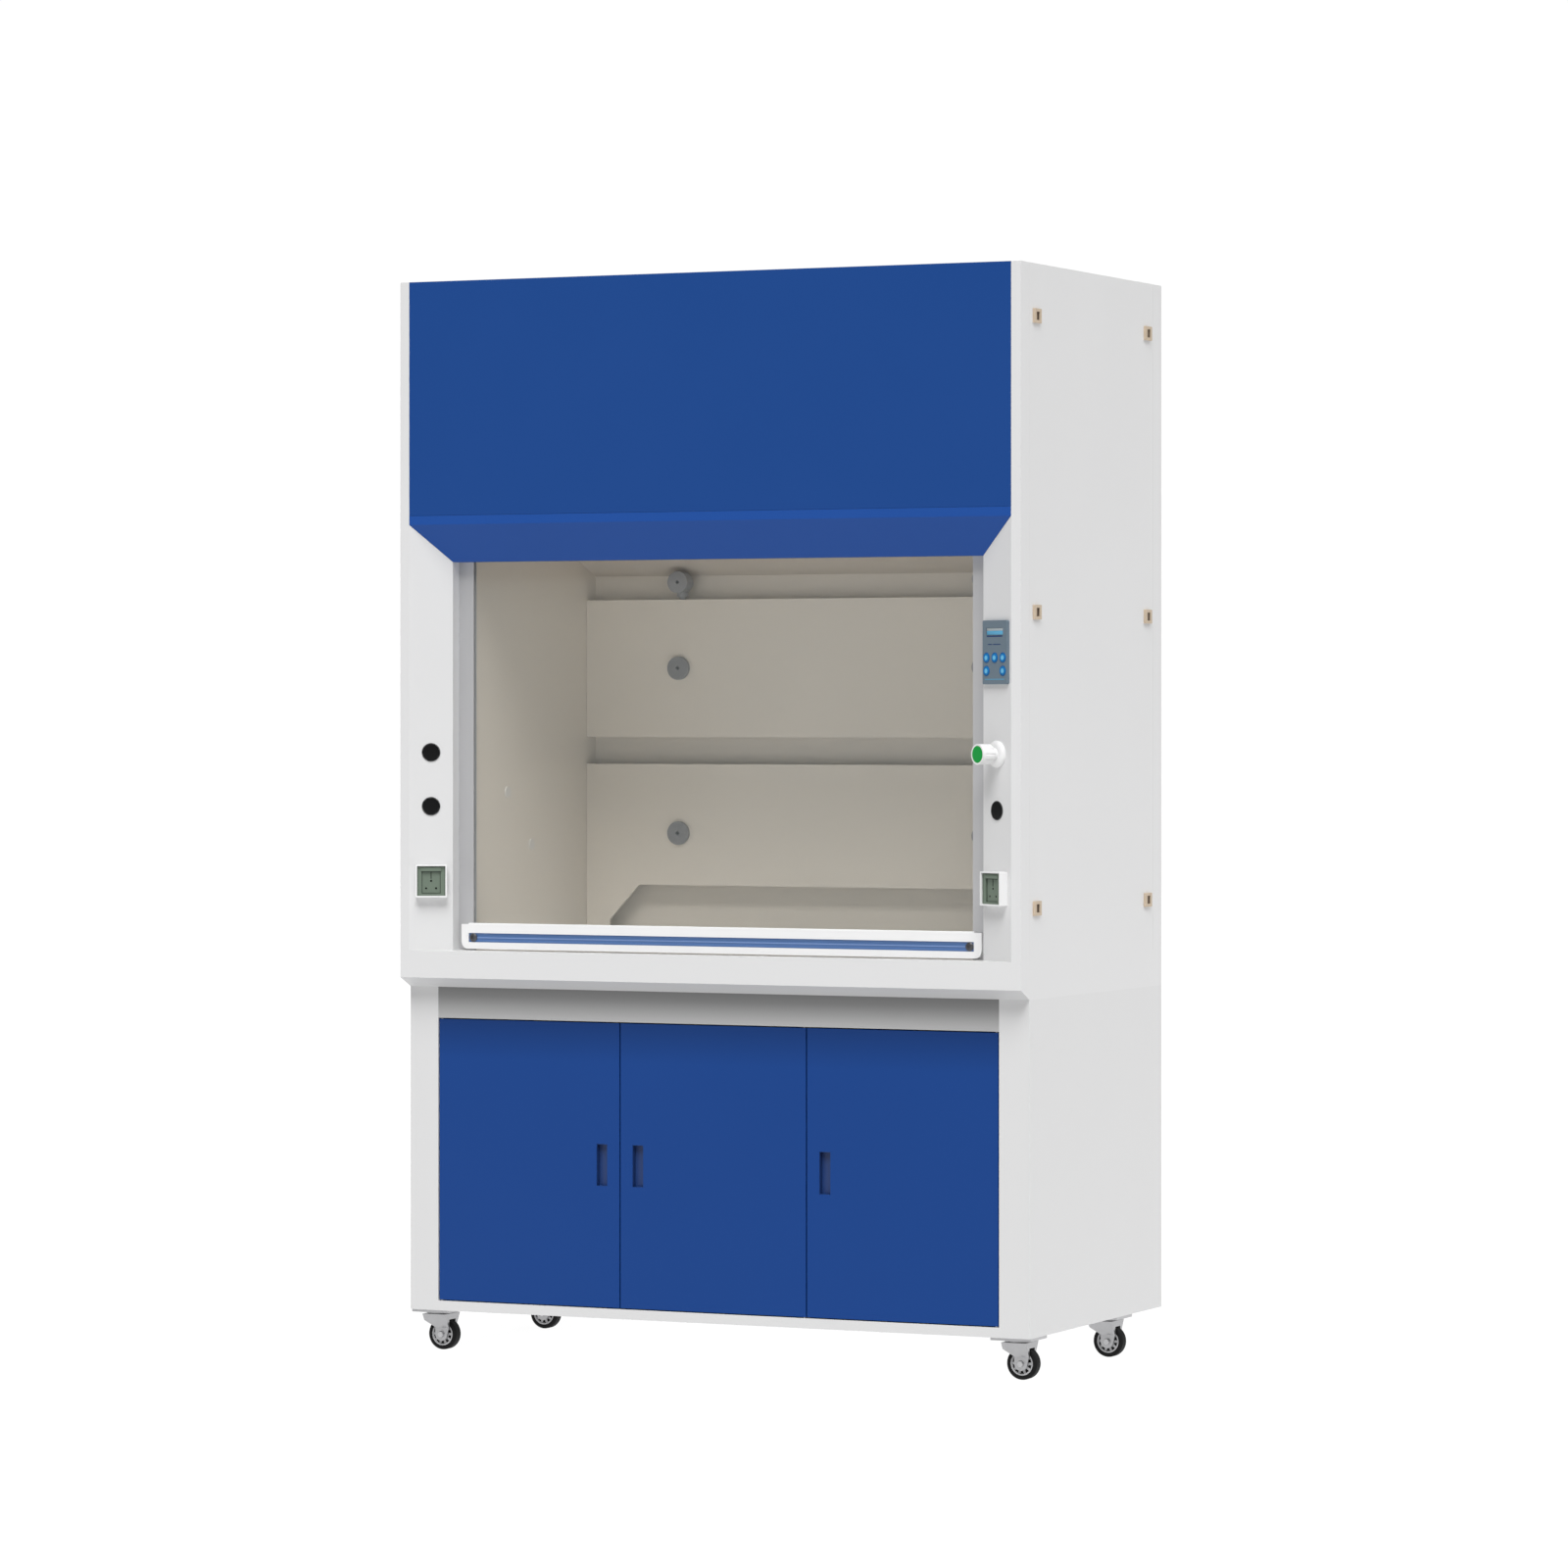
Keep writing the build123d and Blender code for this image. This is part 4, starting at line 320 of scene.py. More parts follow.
# black for the socket's pin holes: painted shade inside them
SOCKET_HOLE_SHADE = surface("socket_pin_hole_shade", (0.006, 0.007, 0.006), 0.5, specular=0.15, tint=0.1)
GREEN = surface("green_index_cap", (0.0015, 0.33, 0.048), 0.35, specular=0.2, bump=0.03)
PORT = surface("pale_port_plastic", (0.70, 0.68, 0.64), 0.35, bump=0.03, tint=0.02)
LAMP = surface("lamp_housing", (0.70, 0.70, 0.69), 0.4, tint=0.02)
FIXING = surface("grey_hand_nut", srgb(130, 130, 132), 0.4, grain=700, bump=0.08, tint=0.04)
# dark grey for the nuts' and outlets' recesses: painted shade
FIXING_RECESS_SHADE = surface("nut_recess", srgb(48, 48, 50), 0.5, tint=0.05)
OUTLET = surface("grey_outlet_plastic", srgb(150, 150, 152), 0.35, tint=0.04)

PANEL = surface(
    "control_panel_film", srgb(108, 124, 136), 0.36, specular=0.25, grain=1300, bump=0.03
)
PANEL_DARK = surface(
    "control_panel_print", srgb(34, 62, 112), 0.4, specular=0.2, bump=0.02, tint=0.04
)
DISPLAY = surface("display_bar", srgb(96, 170, 208), 0.25, specular=0.25, bump=0.01, tint=0.04)
PALE_BAND = surface("pale_panel_band", srgb(168, 178, 182), 0.35, specular=0.25, bump=0.02)
BUTTON = surface("blue_button", (0.006, 0.19, 0.52), 0.34, specular=0.18, bump=0.03, tint=0.04)
BUTTON_RING = surface("blue_button_ring", (0.007, 0.12, 0.36), 0.35, specular=0.2, bump=0.03)
BUTTON_MARK = surface("pale_button_centre", srgb(110, 190, 226), 0.34, specular=0.2, bump=0.03)
LATCH = surface("beige_latch_plastic", srgb(198, 180, 158), 0.4, specular=0.3)
LATCH_DARK = surface("latch_slot_brown", srgb(70, 56, 44), 0.5, specular=0.2, tint=0.05)
LATCH_BOLT = surface("latch_bolt_brown", srgb(128, 108, 88), 0.5, specular=0.2, tint=0.05)
HUB = surface(
    "grey_hub_plastic", srgb(184, 184, 186), 0.42, specular=0.3, grain=600, bump=0.08, tint=0.06
)
TYRE = surface(
    "black_rubber_tyre",
    (0.008, 0.008, 0.0085),
    0.62,
    specular=0.14,
    grain=700,
    bump=0.25,
    tint=0.2,
    wear=0.02,
)
GLASS = clear_glass("sash_glass_sheet", (0.80, 0.88, 0.88), 0.06, 0.03)

CORNERS = ("front_left", "front_right", "rear_left", "rear_right")
BUTTONS = [f"button_{n}" for n in range(1, 6)]
FINISHES = (
    (
        WHITE_CABINET,
        ("cabinet_left_side", "cabinet_right_side", "cabinet_back", "cabinet_floor"),
    ),
    (HEADER_PAINTED_SHADE, ("cabinet_header",)),
    (
        WHITE,
        (
            "worktop_frame",
            "left_front_post",
            "right_front_post",
            "access_panels",
            "hood_back_panel",
        ),
    ),
    (SLAB, ("worktop_slab",)),
    (BLUE, ("upper_front_panel",)),
    (BLUE_BEAK_PAINTED_LIGHT, ("beak_panel",)),
    (BLUE_DOOR_TOP_SHADED, ("left_door", "middle_door", "right_door")),
    (ZINC, ("hood_top_panel", "exhaust_duct")),
    (TRACK, ("sash_tracks", "sash_top_rail")),
    (LINER, ("liner_side_walls", "liner_ceiling")),
    (BAFFLE, ("liner_rear_wall", "upper_baffle", "lower_baffle")),
    (PORT, ("wall_port_plugs",)),
    (LAMP, ("work_lamp",)),
    (FIXING, ("baffle_fixings",)),
    (OUTLET, ("service_outlets",)),
    (LATCH, ("panel_latches",)),
    (BLACK_PLASTIC_AND_HOLE_SHADE, ("post_hole_plugs",)),
    (PLASTIC, ("socket_boxes", "valve_base", "valve_knob")),
    (SOCKET, ("socket_faces",)),
    (GREEN, ("valve_cap",)),
    (PANEL, ("control_panel",)),
    (BUTTON, BUTTONS),
    (CABLE, ("overhead_cables", "sash_cable_runs", "counterweight_cable_runs")),
    (STEEL, ("caster_plates", "front_pulley_shaft", "rear_pulley_shaft")),
    (FORK, [f"{corner}_fork" for corner in CORNERS]),
    (GLASS, ("sash_glass",)),
    (BAR, ("sash_handle",)),
    (RIBS, ("sash_handle_insert",)),
    (IRON, ("counterweight",)),
)
for material, names in FINISHES:
    for name in names:
        mesh = NODES[name].data
        mesh.materials.clear()
        mesh.materials.append(material)

# mesh helpers
SMOOTH_ANGLE = 35.0
BEVEL_STEPS = 2
MERGE = 1e-7


def finished(mesh, name, material, smooth=SMOOTH_ANGLE):
    """Turns a bmesh into an object, with edges sharp where faces turn by more than smooth."""
    bmesh.ops.recalc_face_normals(mesh, faces=mesh.faces)
    data = bpy.data.meshes.new(name)
    mesh.to_mesh(data)
    mesh.free()
    data.materials.append(material)
    data.shade_smooth()
    data.set_sharp_from_angle(angle=math.radians(smooth))
    piece = bpy.data.objects.new(name, data)
    scene.collection.objects.link(piece)
    return piece


def keep(mesh, name, material, body, smooth=SMOOTH_ANGLE):
    """Turns a bmesh into a finished piece that rides on a body."""
    piece = finished(mesh, name, material, smooth)
    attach(piece, body)
    return piece


def basis(origin, normal, across):
    """Matrix at origin, with z along normal and x along what is square to it in across."""
    z = Vector(normal).normalized()
    x = Vector(across)
    x = (x - z * x.dot(z)).normalized()
    y = z.cross(x)
    return Matrix.Translation(Vector(origin)) @ Matrix((x, y, z)).transposed().to_4x4()


def shifted(matrix, x, y, z):
    return matrix @ Matrix.Translation((x, y, z))


def lathe(mesh, matrix, profile, steps):
    """Adds a turned form from (radius, height) pairs: a radius of zero closes it at the axis."""
    rings = []
    for radius, height in profile:
        turns = [math.tau * k / steps for k in range(steps)] if radius else [0.0]
        spots = [(radius * math.cos(turn), radius * math.sin(turn), height) for turn in turns]
        rings.append([mesh.verts.new(matrix @ Vector(spot)) for spot in spots])
    for low, high in zip(rings, rings[1:]):
        for k in range(steps):
            j = (k + 1) % steps
            if len(low) == 1:
                mesh.faces.new((low[0], high[k], high[j]))
            elif len(high) == 1:
                mesh.faces.new((low[k], high[0], low[j]))
            else:
                mesh.faces.new((low[k], high[k], high[j], low[j]))
    if profile[0] == profile[-1]:
        bmesh.ops.remove_doubles(mesh, verts=rings[0] + rings[-1], dist=MERGE)


def slab(mesh, matrix, width, height, low, high, bevel=0.0, far_height=None):
    """Adds a block on the matrix's origin, width along its x and height along its y, from low
    to high along its z, with rounded edges. far_height is its height at the far end of x."""
    flare = 0.0 if far_height is None else far_height - height
    made = bmesh.ops.create_cube(mesh, size=1.0)["verts"]
    for vert in made:
        x, y, z = vert.co
        level = (low + high) / 2 + z * (high - low)
        vert.co = matrix @ Vector((x * width, y * (height + flare * (x + 0.5)), level))
    if bevel:
        edges = list({edge for vert in made for edge in vert.link_edges})
        bmesh.ops.bevel(
            mesh, geom=edges, offset=bevel, segments=BEVEL_STEPS, profile=0.5, affect="EDGES"
        )


def face_matrix(side, height, out=0.0, along=0.0):
    """Matrix on a front post's slanted face, at a height above the floor: z out of the face,
    x along it to the right. side is -1 for the left post and 1 for the right one."""
    normal = Vector((FACE_NORMAL.x * side, FACE_NORMAL.y, 0))
    across = UP.cross(normal)
    point = Vector((FACE_POINT.x * side, FACE_POINT.y, height)) + normal * out + across * along
    return basis(point, normal, across)


def strips(mesh, side, height, out, places, low, high):
    """Adds flat strips to a post's face: places holds (across, up, width, height) of each."""
    for x, z, strip_width, strip_height in places:
        spot = face_matrix(side, height + z, out, x)
        slab(mesh, spot, strip_width, strip_height, low, high)


# casters: radii of the wheel's bore, its boss and the seat under its tyre
WHEEL_BORE, HUB_BOSS, TYRE_SEAT = 0.0041, 0.0105, 0.0255
TYRE_LIP = 0.0012
TYRE_SHOULDER = 0.0045
TREAD_HALF = 0.004
SHOULDER_STEPS = 8
# outline of one end of the hub: (radius, depth below its end)
HUB_END = (
    (WHEEL_BORE, 0),
    (HUB_BOSS, 0),
    (HUB_BOSS + 0.0012, 0.003),
    (TYRE_SEAT - 0.0038, 0.0035),
    (TYRE_SEAT - 0.0026, 0.0009),
    (TYRE_SEAT, 0.0009),
)
HUB_WINDOWS = 10
WINDOW_RADIUS = 0.0182
WINDOW_DEPTH = 0.0034
WINDOW_LENGTH, WINDOW_INNER, WINDOW_OUTER = 0.0064, 0.0040, 0.0080
WINDOW_SUNK, WINDOW_PROUD = 0.0004, 0.0003
AXLE_NUT_SEAT = 0.0195
AXLE_NUT = ((0, 0), (0.0072, 0), (0.0072, 0.003), (0.0064, 0.0038), (0, 0.0038))
NUT_SIDES, NUT_SMOOTH = 6, 20.0
WHEEL_STEPS = 72


def tyre_profile(radius, half):
    """Rubber ring with a flat tread, rounded shoulders and small lips over the hub's seat."""
    upper = [(TYRE_SEAT, half - TYRE_LIP), (TYRE_SEAT + TYRE_LIP, half)]
    for k in range(SHOULDER_STEPS + 1):
        turn = math.pi / 2 * (1 - k / SHOULDER_STEPS)
        ring = radius - TYRE_SHOULDER + TYRE_SHOULDER * math.cos(turn)
        upper.append((ring, half - TYRE_SHOULDER + TYRE_SHOULDER * math.sin(turn)))
    upper.append((radius, TREAD_HALF))
    lower = [(ring, -level) for ring, level in reversed(upper)]
    return [lower[-1], *upper, *lower]


def caster(corner):
    """Tyre, hub with its windows drawn as painted shade, and the axle's nuts on the fork."""
    wheel = f"{corner}_wheel"
    lo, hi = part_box(wheel)
    centre = (lo + hi) / 2
    radius, half = (hi.z - lo.z) / 2, (hi.y - lo.y) / 2
    matrix = basis(centre, FRONT, RIGHT)

    tyre = bmesh.new()
    lathe(tyre, matrix, tyre_profile(radius, half), WHEEL_STEPS)
    rubber = keep(tyre, f"{corner}_tyre", TYRE, wheel)

    hub = bmesh.new()
    near = [(ring, depth - half) for ring, depth in HUB_END]
    far = [(ring, half - depth) for ring, depth in reversed(HUB_END)]
    lathe(hub, matrix, [*near, *far, near[0]], WHEEL_STEPS)
    disc = keep(hub, f"{corner}_hub", HUB, wheel)
    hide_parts(wheel)
    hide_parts(wheel)

    # the hub's windows are flat black sheets: painted shade where the hub has hollows between its
    # spokes
    windows = bmesh.new()
    for end, k in product((-1, 1), range(HUB_WINDOWS)):
        turned = matrix @ Matrix.Rotation(math.tau * (k + 0.5) / HUB_WINDOWS, 4, "Z")
        spot = shifted(turned, WINDOW_RADIUS, 0, end * (half - WINDOW_DEPTH))
        low, high = sorted((-end * WINDOW_SUNK, end * WINDOW_PROUD))
        slab(windows, spot, WINDOW_LENGTH, WINDOW_INNER, low, high, far_height=WINDOW_OUTER)
    keep(windows, f"{corner}_hub_window_shades", BLACK_PLASTIC_AND_HOLE_SHADE, wheel)

    axle = bmesh.new()
    for side in (-1, 1):
        seat = centre - FRONT * (side * AXLE_NUT_SEAT)
        lathe(axle, basis(seat, (0, side, 0), RIGHT), AXLE_NUT, NUT_SIDES)
    name, fork = f"{corner}_axle_nuts", f"{corner}_swivel"
    keep(axle, name, SCREW_BRIGHT, fork, NUT_SMOOTH)


for corner in CORNERS:
    caster(corner)

# plugs on the posts: (radius, height) outlines, and levels above the worktop
PLUG_RIM = ((0.0206, 0), (0.0206, 0.0010), (0.0196, 0.0015), (0.0190, 0.0015), (0.0190, 0))
PLUG_DOME = (
    (0, 0.0021),
    (0.010, 0.0020),
    (0.0165, 0.0017),
    (0.0186, 0.0012),
    (0.0192, 0.0003),
    (0.0192, -0.004),
    (0, -0.004),
)
DOME_LIFT = 0.0002
PLUG_STEPS = 64
PLUG_Z = WORKTOP_HI.z + 0.321
UPPER_PLUG_Z = WORKTOP_HI.z + 0.441

for side, height, name in (
    (-1, PLUG_Z, "left_low_plug"),
    (-1, UPPER_PLUG_Z, "left_high_plug"),
    (1, PLUG_Z, "right_plug"),
):
    rim, dome = bmesh.new(), bmesh.new()
    lathe(rim, face_matrix(side, height), PLUG_RIM, PLUG_STEPS)
    keep(rim, f"{name}_rim", RIM, "hood")
    lathe(dome, face_matrix(side, height, DOME_LIFT), PLUG_DOME, PLUG_STEPS)
    keep(dome, f"{name}_dome", BLACK_PLASTIC_AND_HOLE_SHADE, "hood")

# sockets: strips are (across, up, width, height) from the middle of the box
SOCKET_OUT = 0.015
WELL_OUT = SOCKET_OUT - 0.0035
PIN_OUT = WELL_OUT - 0.0035
PIN_PLACES = ((0, 0), (-0.011, -0.0165), (0.011, -0.0165))
PIN_HOLE = ((0, 0), (0.0022, 0), (0.0022, 0.0030), (0.0018, 0.0034), (0, 0.0034))
WELL_STRIPS = (
    (0, 0.0206, 0.0410, 0.0016),
    (0, -0.0276, 0.0410, 0.0012),
    (-0.0204, -0.0035, 0.0012, 0.0494),
    (0.0204, -0.0035, 0.0012, 0.0494),
    (0, 0.0125, 0.0022, 0.0150),
)
COVER_STRIPS = (
    (0, 0.0322, 0.0610, 0.0012),
    (-0.0308, 0, 0.0010, 0.0640),
    (0.0308, 0, 0.0010, 0.0640),
)
STRIP_DEPTH = 0.0006
LEDGE_UP, LEDGE_WIDTH, LEDGE_HEIGHT = 0.0255, 0.046, 0.008
LEDGE_SUNK, LEDGE_PROUD, LEDGE_EDGE = 0.002, 0.0022, 0.0009

SOCKET_LO, SOCKET_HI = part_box("socket_boxes")
SOCKET_Z = (SOCKET_LO.z + SOCKET_HI.z) / 2
for side, name in ((-1, "left_socket"), (1, "right_socket")):
    pins, well, ledge = bmesh.new(), bmesh.new(), bmesh.new()
    # pin holes are short black plugs: painted shade inside the socket's holes
    for x, z in PIN_PLACES:
        lathe(pins, face_matrix(side, SOCKET_Z + z, PIN_OUT, x), PIN_HOLE, steps=20)
    keep(pins, f"{name}_pin_holes", SOCKET_HOLE_SHADE, "hood")
    strips(well, side, SOCKET_Z, WELL_OUT, WELL_STRIPS, -STRIP_DEPTH, STRIP_DEPTH)
    strips(well, side, SOCKET_Z, SOCKET_OUT, COVER_STRIPS, -STRIP_DEPTH, STRIP_DEPTH)
    keep(well, f"{name}_well_edges", SOCKET_WELL, "hood")
    spot = face_matrix(side, SOCKET_Z + LEDGE_UP, SOCKET_OUT)
    slab(ledge, spot, LEDGE_WIDTH, LEDGE_HEIGHT, -LEDGE_SUNK, LEDGE_PROUD, LEDGE_EDGE)
    keep(ledge, f"{name}_ledge", SOCKET, "hood")

# control panel: display, bands and marks, placed from the panel's middle
PANEL_LO, PANEL_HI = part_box("control_panel")
PANEL_Z = (PANEL_LO.z + PANEL_HI.z) / 2
PANEL_OUT = 0.007
DISPLAY_OUT = PANEL_OUT - 0.0015
DISPLAY_WIDTH, DISPLAY_SUNK, DISPLAY_EDGE = 0.056, 0.0004, 0.0003
DISPLAY_UP, DISPLAY_HEIGHT, DISPLAY_PROUD = 0.0415, 0.0084, 0.0009
BAND_UP, BAND_HEIGHT, BAND_PROUD = 0.0488, 0.0058, 0.0008
FOOT_LINE = ((0, -0.0575, 0.068, 0.0016),)
PRINT_STRIPS = (
    (0, 0.0342, 0.054, 0.0024),
    (-0.0165, 0.0170, 0.013, 0.0018),
    (0.0075, 0.0170, 0.026, 0.0018),
)
PRINT_SUNK, PRINT_PROUD = 0.0002, 0.0003
MARK_OUT = 0.0086
BUTTON_RIM = ((0.0096, 0), (0.0098, 0.0007), (0.0108, 0.0007), (0.0112, 0), (0.0096, 0))
BUTTON_CENTRE = ((0, 0.0001), (0.0042, 0.0001), (0.0050, 0), (0.0050, -0.0004), (0, -0.0004))

display, band, marks = bmesh.new(), bmesh.new(), bmesh.new()
slab(
    display,
    face_matrix(1, PANEL_Z + DISPLAY_UP, DISPLAY_OUT),
    DISPLAY_WIDTH,
    DISPLAY_HEIGHT,
    -DISPLAY_SUNK,
    DISPLAY_PROUD,
    DISPLAY_EDGE,
)
strips(display, 1, PANEL_Z, PANEL_OUT, FOOT_LINE, -PRINT_SUNK, PRINT_PROUD)
keep(display, "display_bar", DISPLAY, "hood")
slab(
    band,
    face_matrix(1, PANEL_Z + BAND_UP, DISPLAY_OUT),
    DISPLAY_WIDTH,
    BAND_HEIGHT,
    -DISPLAY_SUNK,
    BAND_PROUD,
    DISPLAY_EDGE,
)
keep(band, "display_header", PALE_BAND, "hood")
strips(marks, 1, PANEL_Z, PANEL_OUT, PRINT_STRIPS, -PRINT_SUNK, PRINT_PROUD)
keep(marks, "panel_print", PANEL_DARK, "hood")

for name in BUTTONS:
    lo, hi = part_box(name)
    centre = (lo + hi) / 2
    offset = centre - Vector((FACE_POINT.x, FACE_POINT.y, centre.z))
    along = offset.dot(UP.cross(FACE_NORMAL))
    ring, mark = bmesh.new(), bmesh.new()
    lathe(ring, face_matrix(1, centre.z, PANEL_OUT, along), BUTTON_RIM, steps=40)
    keep(ring, f"{name}_ring", BUTTON_RING, "hood")
    lathe(mark, face_matrix(1, centre.z, MARK_OUT, along), BUTTON_CENTRE, steps=32)
    keep(mark, f"{name}_mark", BUTTON_MARK, name)

# cable runs: a straight cable at each side of a run's box, from its foot to its top, named for the
# sash or the weight
for name, body in (("sash_cable_runs", "sash"), ("counterweight_cable_runs", "counterweight")):
    lo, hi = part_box(name)
    radius, length = (hi.y - lo.y) / 2, hi.z - lo.z
    cables = bmesh.new()
    for x in (lo.x + radius, hi.x - radius):
        foot = basis((x, (lo.y + hi.y) / 2, lo.z), UP, RIGHT)
        lathe(cables, foot, ((0, 0), (radius, 0), (radius, length), (0, length)), steps=20)
    run = finished(cables, f"{body}_cables", CABLE)
    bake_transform(run)
    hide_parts(name)

# latches: a dark slot and a bolt on each; insets run from the node's box to a latch's middle
LATCH_OUT = WORKTOP_HI.x + 0.002
LATCH_INSET_Y, LATCH_INSET_Z = 0.019, 0.0155
SLOT_WIDTH, SLOT_SUNK, SLOT_PROUD, SLOT_EDGE = 0.0176, 0.001, 0.0006, 0.0003
BOLT_BACK, BOLT_WIDTH, BOLT_HEIGHT, BOLT_PROUD, BOLT_EDGE = 0.0052, 0.0062, 0.0168, 0.0018, 0.0004

slots, bolts = bmesh.new(), bmesh.new()
lo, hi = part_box("panel_latches")
for side, y, z in product(
    (-1, 1),
    (lo.y + LATCH_INSET_Y, hi.y - LATCH_INSET_Y),
    (lo.z + LATCH_INSET_Z, (lo.z + hi.z) / 2, hi.z - LATCH_INSET_Z),
):
    spot = basis((side * LATCH_OUT, y, z), (side, 0, 0), (0, 1, 0))
    slab(slots, spot, SLOT_WIDTH, SLOT_WIDTH, -SLOT_SUNK, SLOT_PROUD, SLOT_EDGE)
    spot = shifted(spot, -BOLT_BACK, 0, 0)
    slab(bolts, spot, BOLT_WIDTH, BOLT_HEIGHT, 0.0, BOLT_PROUD, BOLT_EDGE)
keep(slots, "latch_slots", LATCH_DARK, "hood")
keep(bolts, "latch_bolts", LATCH_BOLT, "hood")

# sash handle: a pale band along its insert and a domed screw with a round recess at each end
BAND_MARGIN, INSERT_BAND_HEIGHT = 0.015, 0.0024
INSERT_BAND_SUNK, INSERT_BAND_PROUD = 0.0005, 0.0004
SCREW_INSET, SCREW_RADIUS, SCREW_PROUD = 0.011, 0.0095, 0.0036
# outline of a screw, in shares of its radius and height
SCREW_SHARES = ((0, 0.25), (0.42, 0.25), (0.46, 1), (0.75, 0.92), (0.95, 0.5), (1, 0), (0, 0))

lo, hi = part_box("sash_handle_insert")
middle_z = (lo.z + hi.z) / 2
band, screws = bmesh.new(), bmesh.new()
slab(
    band,
    basis((0, lo.y, middle_z), FRONT, RIGHT),
    hi.x - lo.x - 2 * BAND_MARGIN,
    INSERT_BAND_HEIGHT,
    -INSERT_BAND_SUNK,
    INSERT_BAND_PROUD,
)
keep(band, "insert_light_band", RIBS_LIGHT, "sash")
screw_profile = [(SCREW_RADIUS * r, SCREW_PROUD * h) for r, h in SCREW_SHARES]
for side in (-1, 1):
    spot = basis((side * (hi.x - SCREW_INSET), lo.y, middle_z), FRONT, RIGHT)
    lathe(screws, spot, screw_profile, steps=24)
keep(screws, "handle_end_screws", SCREW, "sash")

# door pulls: a darker blue lining in the cup of each door, painted shade in the recess
PULL_INSET, PULL_LEVEL = 0.043, 0.3375
PULL_WIDTH, PULL_HEIGHT, PULL_DEPTH, PULL_MOUTH = 0.0254, 0.0914, 0.0149, 0.0012
CUP_FLOOR, CUP_WALL = 0.0006, 0.0005

for name, hinge in (("left_door", -1), ("middle_door", 1), ("right_door", 1)):
    lo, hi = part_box(name)
    pull_x = hi.x - PULL_INSET if hinge < 0 else lo.x + PULL_INSET
    pull_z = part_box("cabinet_left_side")[0].z + PULL_LEVEL
    face = basis((pull_x, lo.y, pull_z), FRONT, RIGHT)
    cup = bmesh.new()
    slab(cup, face, PULL_WIDTH, PULL_HEIGHT, -PULL_DEPTH, CUP_FLOOR - PULL_DEPTH)
    for side in (-1, 1):
        upright = shifted(face, side * PULL_WIDTH / 2, 0, 0)
        slab(cup, upright, CUP_WALL, PULL_HEIGHT, -PULL_DEPTH, -PULL_MOUTH)
        level = shifted(face, 0, side * PULL_HEIGHT / 2, 0)
        slab(cup, level, PULL_WIDTH, CUP_WALL, -PULL_DEPTH, -PULL_MOUTH)
    keep(cup, f"{name}_pull_cup", BLUE_PULL_SHADE, name)

# baffle hand nuts and outlets: a flat dark square, set on its corner, on the front of each,
# painted shade standing in for a square recess; insets run from the node's box to the middle of a
# nut or outlet
NUT_INSET, OUTLET_INSET = 0.027, 0.025
RECESS_BACK, RECESS_WIDTH, RECESS_SUNK, RECESS_PROUD = 0.0048, 0.0078, 0.0002, 0.0004
DIAGONAL = (1, 0, 1)


def recesses(name, xs, y, zs):
    """Flat dark squares, painted shade for recesses, at every pair of an x and a z."""
    mesh = bmesh.new()
    for x, z in product(xs, zs):
        spot = basis((x, y, z), FRONT, DIAGONAL)
        slab(mesh, spot, RECESS_WIDTH, RECESS_WIDTH, -RECESS_SUNK, RECESS_PROUD)
    keep(mesh, name, FIXING_RECESS_SHADE, "hood")


lo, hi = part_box("baffle_fixings")
recesses(
    "hand_nut_recesses",
    (lo.x + NUT_INSET, hi.x - NUT_INSET),
    lo.y + RECESS_BACK,
    (lo.z + NUT_INSET, hi.z - NUT_INSET),
)
lo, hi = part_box("service_outlets")
recesses(
    "outlet_recesses",
    (lo.x + OUTLET_INSET, hi.x - OUTLET_INSET),
    lo.y + RECESS_BACK,
    (hi.z - OUTLET_INSET,),
)

# stage: the camera sees white, the part is lit by a bright floor side and a dim sky side
BACKDROP, FLOOR_GLOW, SKY_GLOW, HORIZON = 1.02, 0.92, 0.15, 0.1
WHITE_LIGHT = (1, 1, 1, 1)
world = bpy.data.worlds.new("studio")
scene.world = world
world.use_nodes = True
tree = world.node_tree
tree.nodes.clear()
seen = node(tree, "ShaderNodeBackground", Color=WHITE_LIGHT, Strength=BACKDROP)
lit = node(tree, "ShaderNodeBackground", Color=WHITE_LIGHT)
heading = tree.nodes.new("ShaderNodeTexCoord")
split = tree.nodes.new("ShaderNodeSeparateXYZ")
glow = node(
    tree,
    "ShaderNodeMapRange",
    From_Min=-HORIZON,
    From_Max=HORIZON,
    To_Min=FLOOR_GLOW,
    To_Max=SKY_GLOW,
)
tree.links.new(heading.outputs["Generated"], split.inputs[0])
tree.links.new(split.outputs["Z"], glow.inputs["Value"])
tree.links.new(glow.outputs["Result"], lit.inputs["Strength"])
ray = tree.nodes.new("ShaderNodeLightPath")
pick = tree.nodes.new("ShaderNodeMixShader")
out = tree.nodes.new("ShaderNodeOutputWorld")
tree.links.new(ray.outputs["Is Camera Ray"], pick.inputs["Fac"])
tree.links.new(lit.outputs[0], pick.inputs[1])
tree.links.new(seen.outputs[0], pick.inputs[2])
tree.links.new(pick.outputs[0], out.inputs["Surface"])

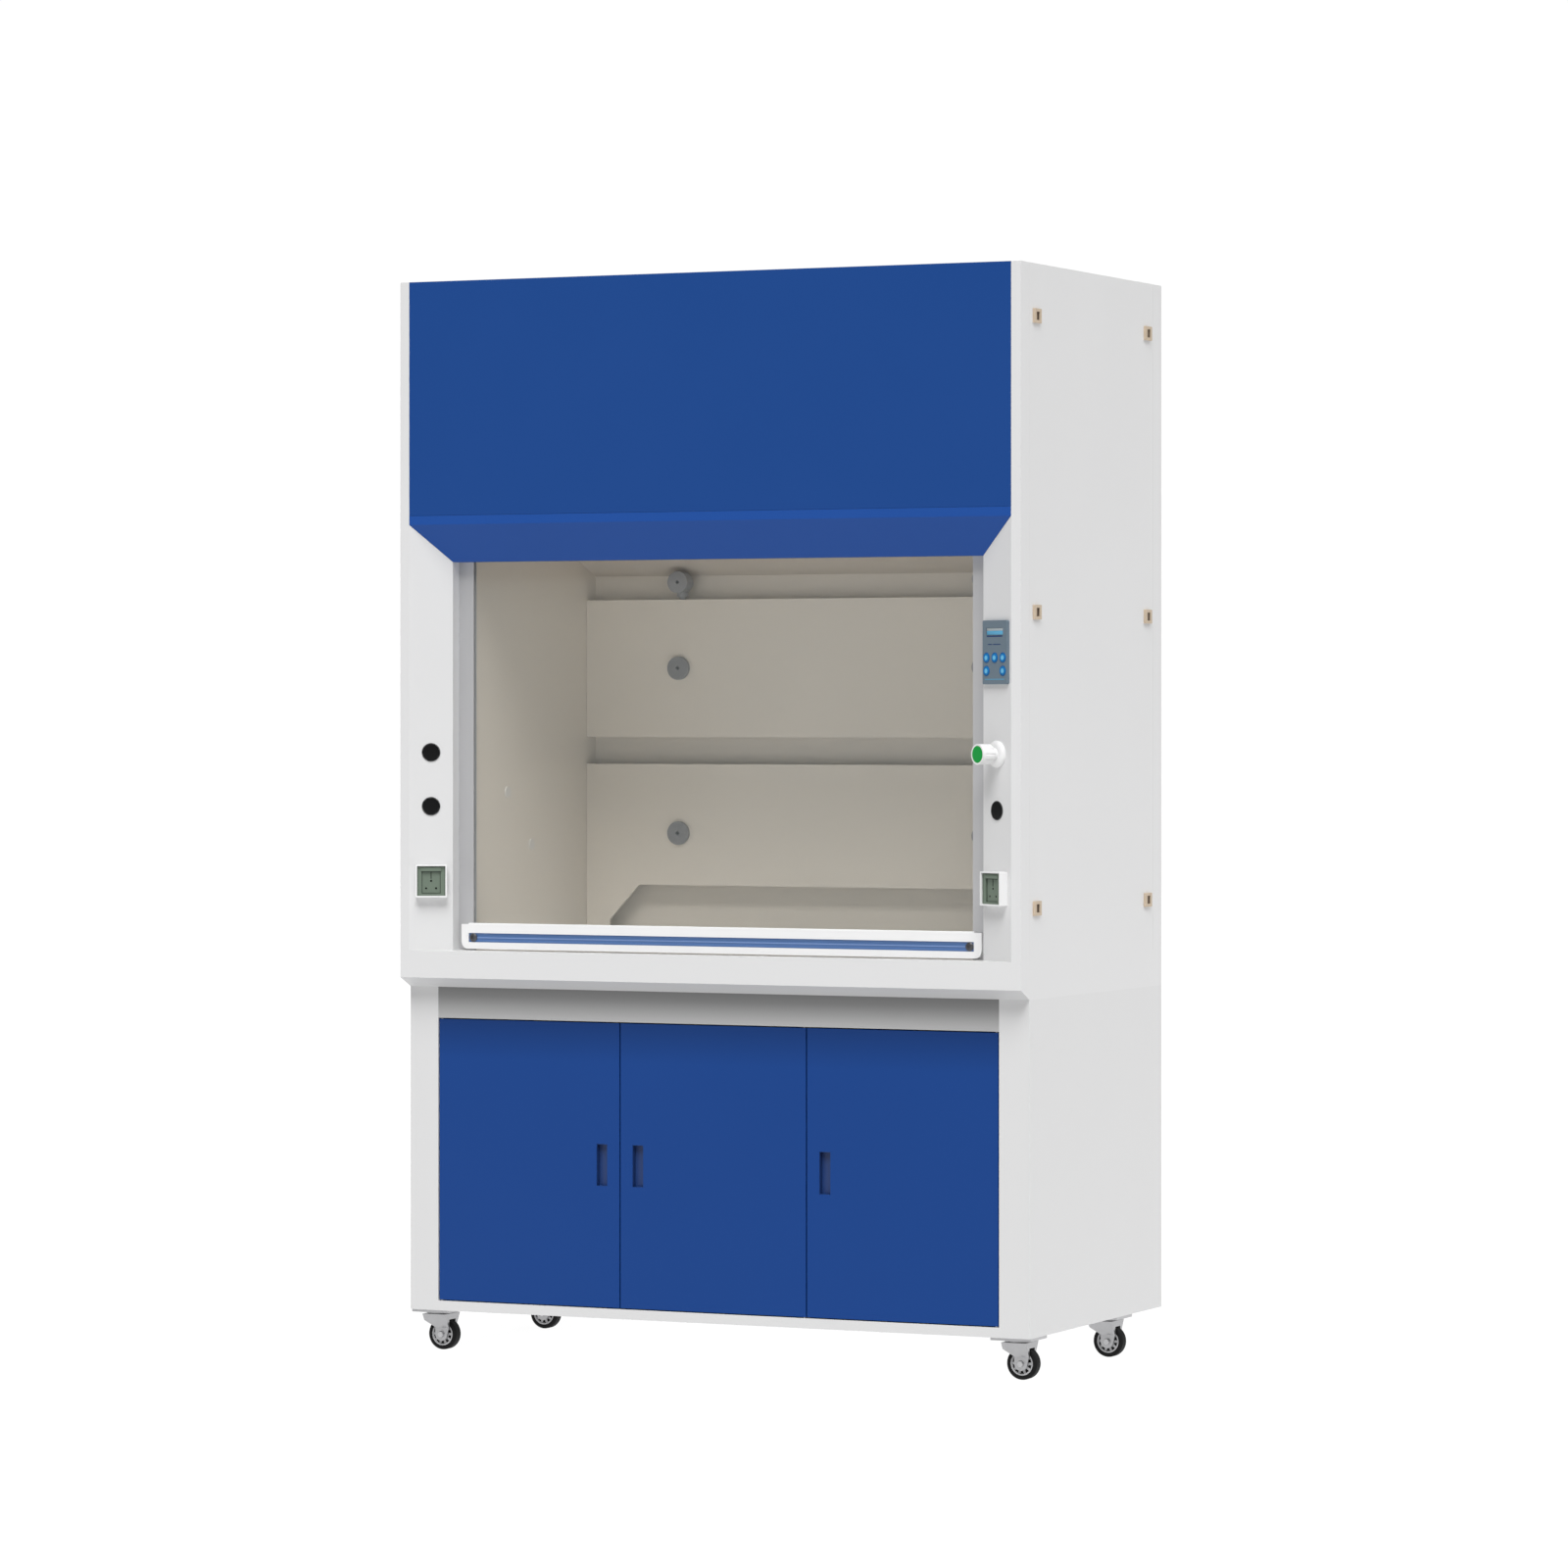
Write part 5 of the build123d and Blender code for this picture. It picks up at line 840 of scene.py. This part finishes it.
FLOOR_HALF, FLOOR_DROP, FLOOR_GREY, FLOOR_EMISSION = 30, 0.0005, 0.10, 0.96
QUARTERS = ((-1, -1), (1, -1), (1, 1), (-1, 1))
floor_corners = [(x * FLOOR_HALF, y * FLOOR_HALF, 0) for x, y in QUARTERS]
floor_mesh = bpy.data.meshes.new("studio_floor")
floor_mesh.from_pydata(floor_corners, [], [(0, 1, 2, 3)])
floor = bpy.data.objects.new("studio_floor", floor_mesh)
scene.collection.objects.link(floor)
floor.location.z = -FLOOR_DROP
paper = bpy.data.materials.new("studio_paper")
paper.use_nodes = True
shader = paper.node_tree.nodes["Principled BSDF"]
shader.inputs["Base Color"].default_value = (FLOOR_GREY, FLOOR_GREY, FLOOR_GREY, 1)
shader.inputs["Roughness"].default_value = 1.0
shader.inputs["Specular IOR Level"].default_value = 0.0
shader.inputs["Emission Color"].default_value = WHITE_LIGHT
shader.inputs["Emission Strength"].default_value = FLOOR_EMISSION
floor_mesh.materials.append(paper)
floor.visible_diffuse = False

LAMP_DISTANCE = 8


def soft_sun(name, azimuth, elevation, spread, power):
    """A broad, even light from far off: azimuth 0 shines from the front and 90 from the right."""
    data = bpy.data.lights.new(name, "SUN")
    data.angle = math.radians(spread)
    data.energy = power
    lamp = bpy.data.objects.new(name, data)
    scene.collection.objects.link(lamp)
    a, e = math.radians(azimuth), math.radians(elevation)
    toward = Vector((math.sin(a) * math.cos(e), -math.cos(a) * math.cos(e), math.sin(e)))
    lamp.rotation_euler = toward.to_track_quat("Z", "Y").to_euler()
    lamp.location = toward * LAMP_DISTANCE


soft_sun("key_light", azimuth=20, elevation=56, spread=36, power=2.85)
soft_sun("side_light", azimuth=112, elevation=48, spread=36, power=1.35)

# the photograph's camera: level, turned to the left, at a distance from the worktop's front
CAMERA_RIGHT, CAMERA_BACK, CAMERA_UP = 5.5584, 11.4095, 1.4259
CAMERA_TURN = 25.177
SENSOR, LENS, SHIFT_Y = 36.0, 133.98, -0.0456
camera_data = bpy.data.cameras.new("camera")
camera = bpy.data.objects.new("camera", camera_data)
scene.collection.objects.link(camera)
scene.camera = camera
camera_data.sensor_width = SENSOR
camera_data.lens = LENS
camera_data.shift_y = SHIFT_Y
camera_data.clip_end = 100.0
camera.rotation_euler = (math.radians(90), 0, math.radians(CAMERA_TURN))
camera.location = (CAMERA_RIGHT, WORKTOP_LO.y - CAMERA_BACK, CAMERA_UP)
scene.view_settings.view_transform = "Standard"
